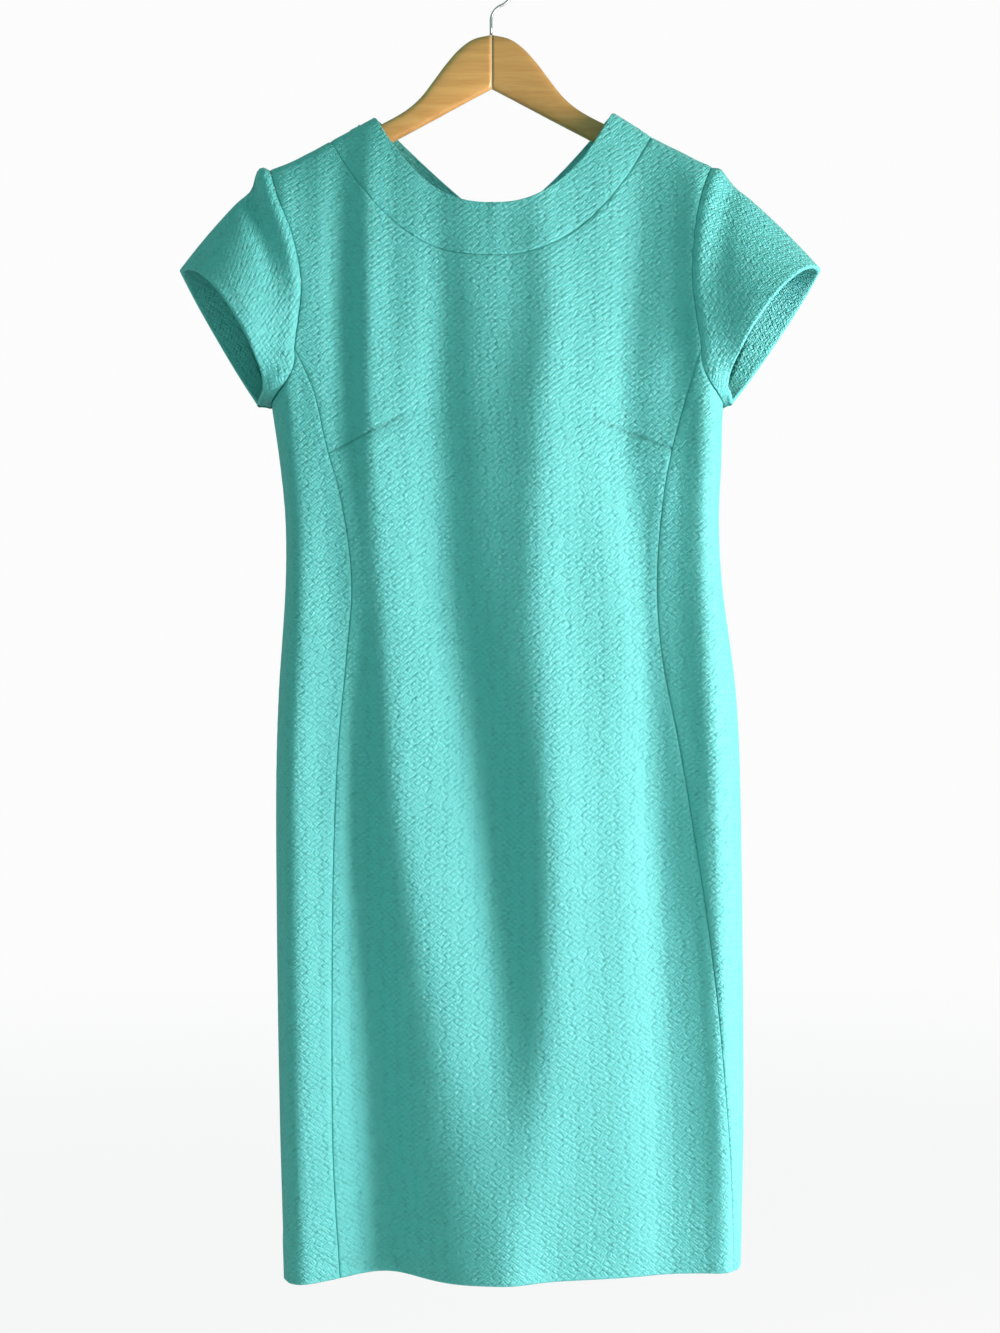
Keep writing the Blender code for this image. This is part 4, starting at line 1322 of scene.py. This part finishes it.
studio = {
    "ambient": (0.25, 0.42, 0.39, 1.0),
    "backdrop": (0.97, 0.975, 0.97, 1.0),
    "floorHeight": -1.35,
    "floorReach": 7.0,
    "floorColour": (0.85, 0.85, 0.85, 1.0),
    "lens": 68.29,
    "sensorWidth": 36,
    "cameraPlace": (0.0078, -2.2, -0.6144),
}
lights = {
    "key": {"place": (1.75, -0.72, -0.6), "aim": (0, 0, -0.65), "power": 38.0, "size": 0.8,
            "colour": (1.4, 1.0, 0.92)},
    "low": {"place": (1.75, -0.72, -1.15), "aim": (0, 0, -0.95), "power": 17.0, "size": 0.6,
            "colour": (1.15, 0.97, 1.42)},
    "fill": {"place": (-1.2, -2.6, 0.6), "aim": (0, 0, -0.6), "power": 1.5, "size": 1.6, "colour": (1, 1, 1)},
}


def paleFloor():
    # the camera sees its own pale colour, which hides the far edge; light and shadow reach it as on any floor
    far, height = studio["floorReach"], studio["floorHeight"]
    corners = [(x * far, y * far, height) for x, y in ((-1, -1), (1, -1), (1, 1), (-1, 1))]
    floor = meshObject("floor", corners, [(0, 1, 2, 3)])
    made, tree, shader = newMaterial("paleFloor")
    putAll(shader, {"Base Color": studio["floorColour"], "Roughness": 0.9})
    glow = addNode(tree, "ShaderNodeEmission", {"Color": studio["backdrop"]})
    rays = tree.nodes.new("ShaderNodeLightPath")
    away = addNode(tree, "ShaderNodeVectorMath", {0: objectPlace(tree)}, operation="LENGTH")
    share = smoothRange(away.outputs["Value"], 1.2, 4.5, 0.9, 1.0)
    seen = {0: times(rays.outputs["Is Camera Ray"], share), 1: shader.outputs[0], 2: glow.outputs[0]}
    mix = addNode(tree, "ShaderNodeMixShader", seen)
    put(tree.nodes["Material Output"].inputs[0], mix.outputs[0])
    floor.data.materials.append(made)
    floor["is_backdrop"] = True


def worldLight():
    world = bpy.data.worlds.new("studio")
    bpy.context.scene.world = world
    world.use_nodes = True
    rays = world.node_tree.nodes.new("ShaderNodeLightPath")
    colour = mixColour(rays.outputs["Is Camera Ray"], studio["ambient"], studio["backdrop"])
    put(world.node_tree.nodes["Background"].inputs["Color"], colour)


def areaLight(name, lamp):
    light = bpy.data.lights.new(name, "AREA")
    light.energy, light.size, light.color = lamp["power"], lamp["size"], lamp["colour"]
    thing = linked(name, light)
    thing.location = lamp["place"]
    thing.rotation_euler = (Vector(lamp["aim"]) - Vector(lamp["place"])).to_track_quat("-Z", "Y").to_euler()


def levelCamera():
    camera = bpy.data.cameras.new("camera")
    camera.lens, camera.sensor_width = studio["lens"], studio["sensorWidth"]
    thing = linked("camera", camera)
    thing.location = studio["cameraPlace"]
    thing.rotation_euler = (math.radians(90), 0, 0)
    bpy.context.scene.camera = thing


paleFloor()
worldLight()
for name, lamp in lights.items():
    areaLight(name, lamp)
levelCamera()
bpy.context.scene.view_settings.view_transform = "Standard"
print("studio ready")

low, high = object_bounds()
for label, least, most in (("frame", cadLow, cadHigh), ("visual", low, high)):
    print("size of the", label, [round((b - a) * 1000, 1) for a, b in zip(least, most)])
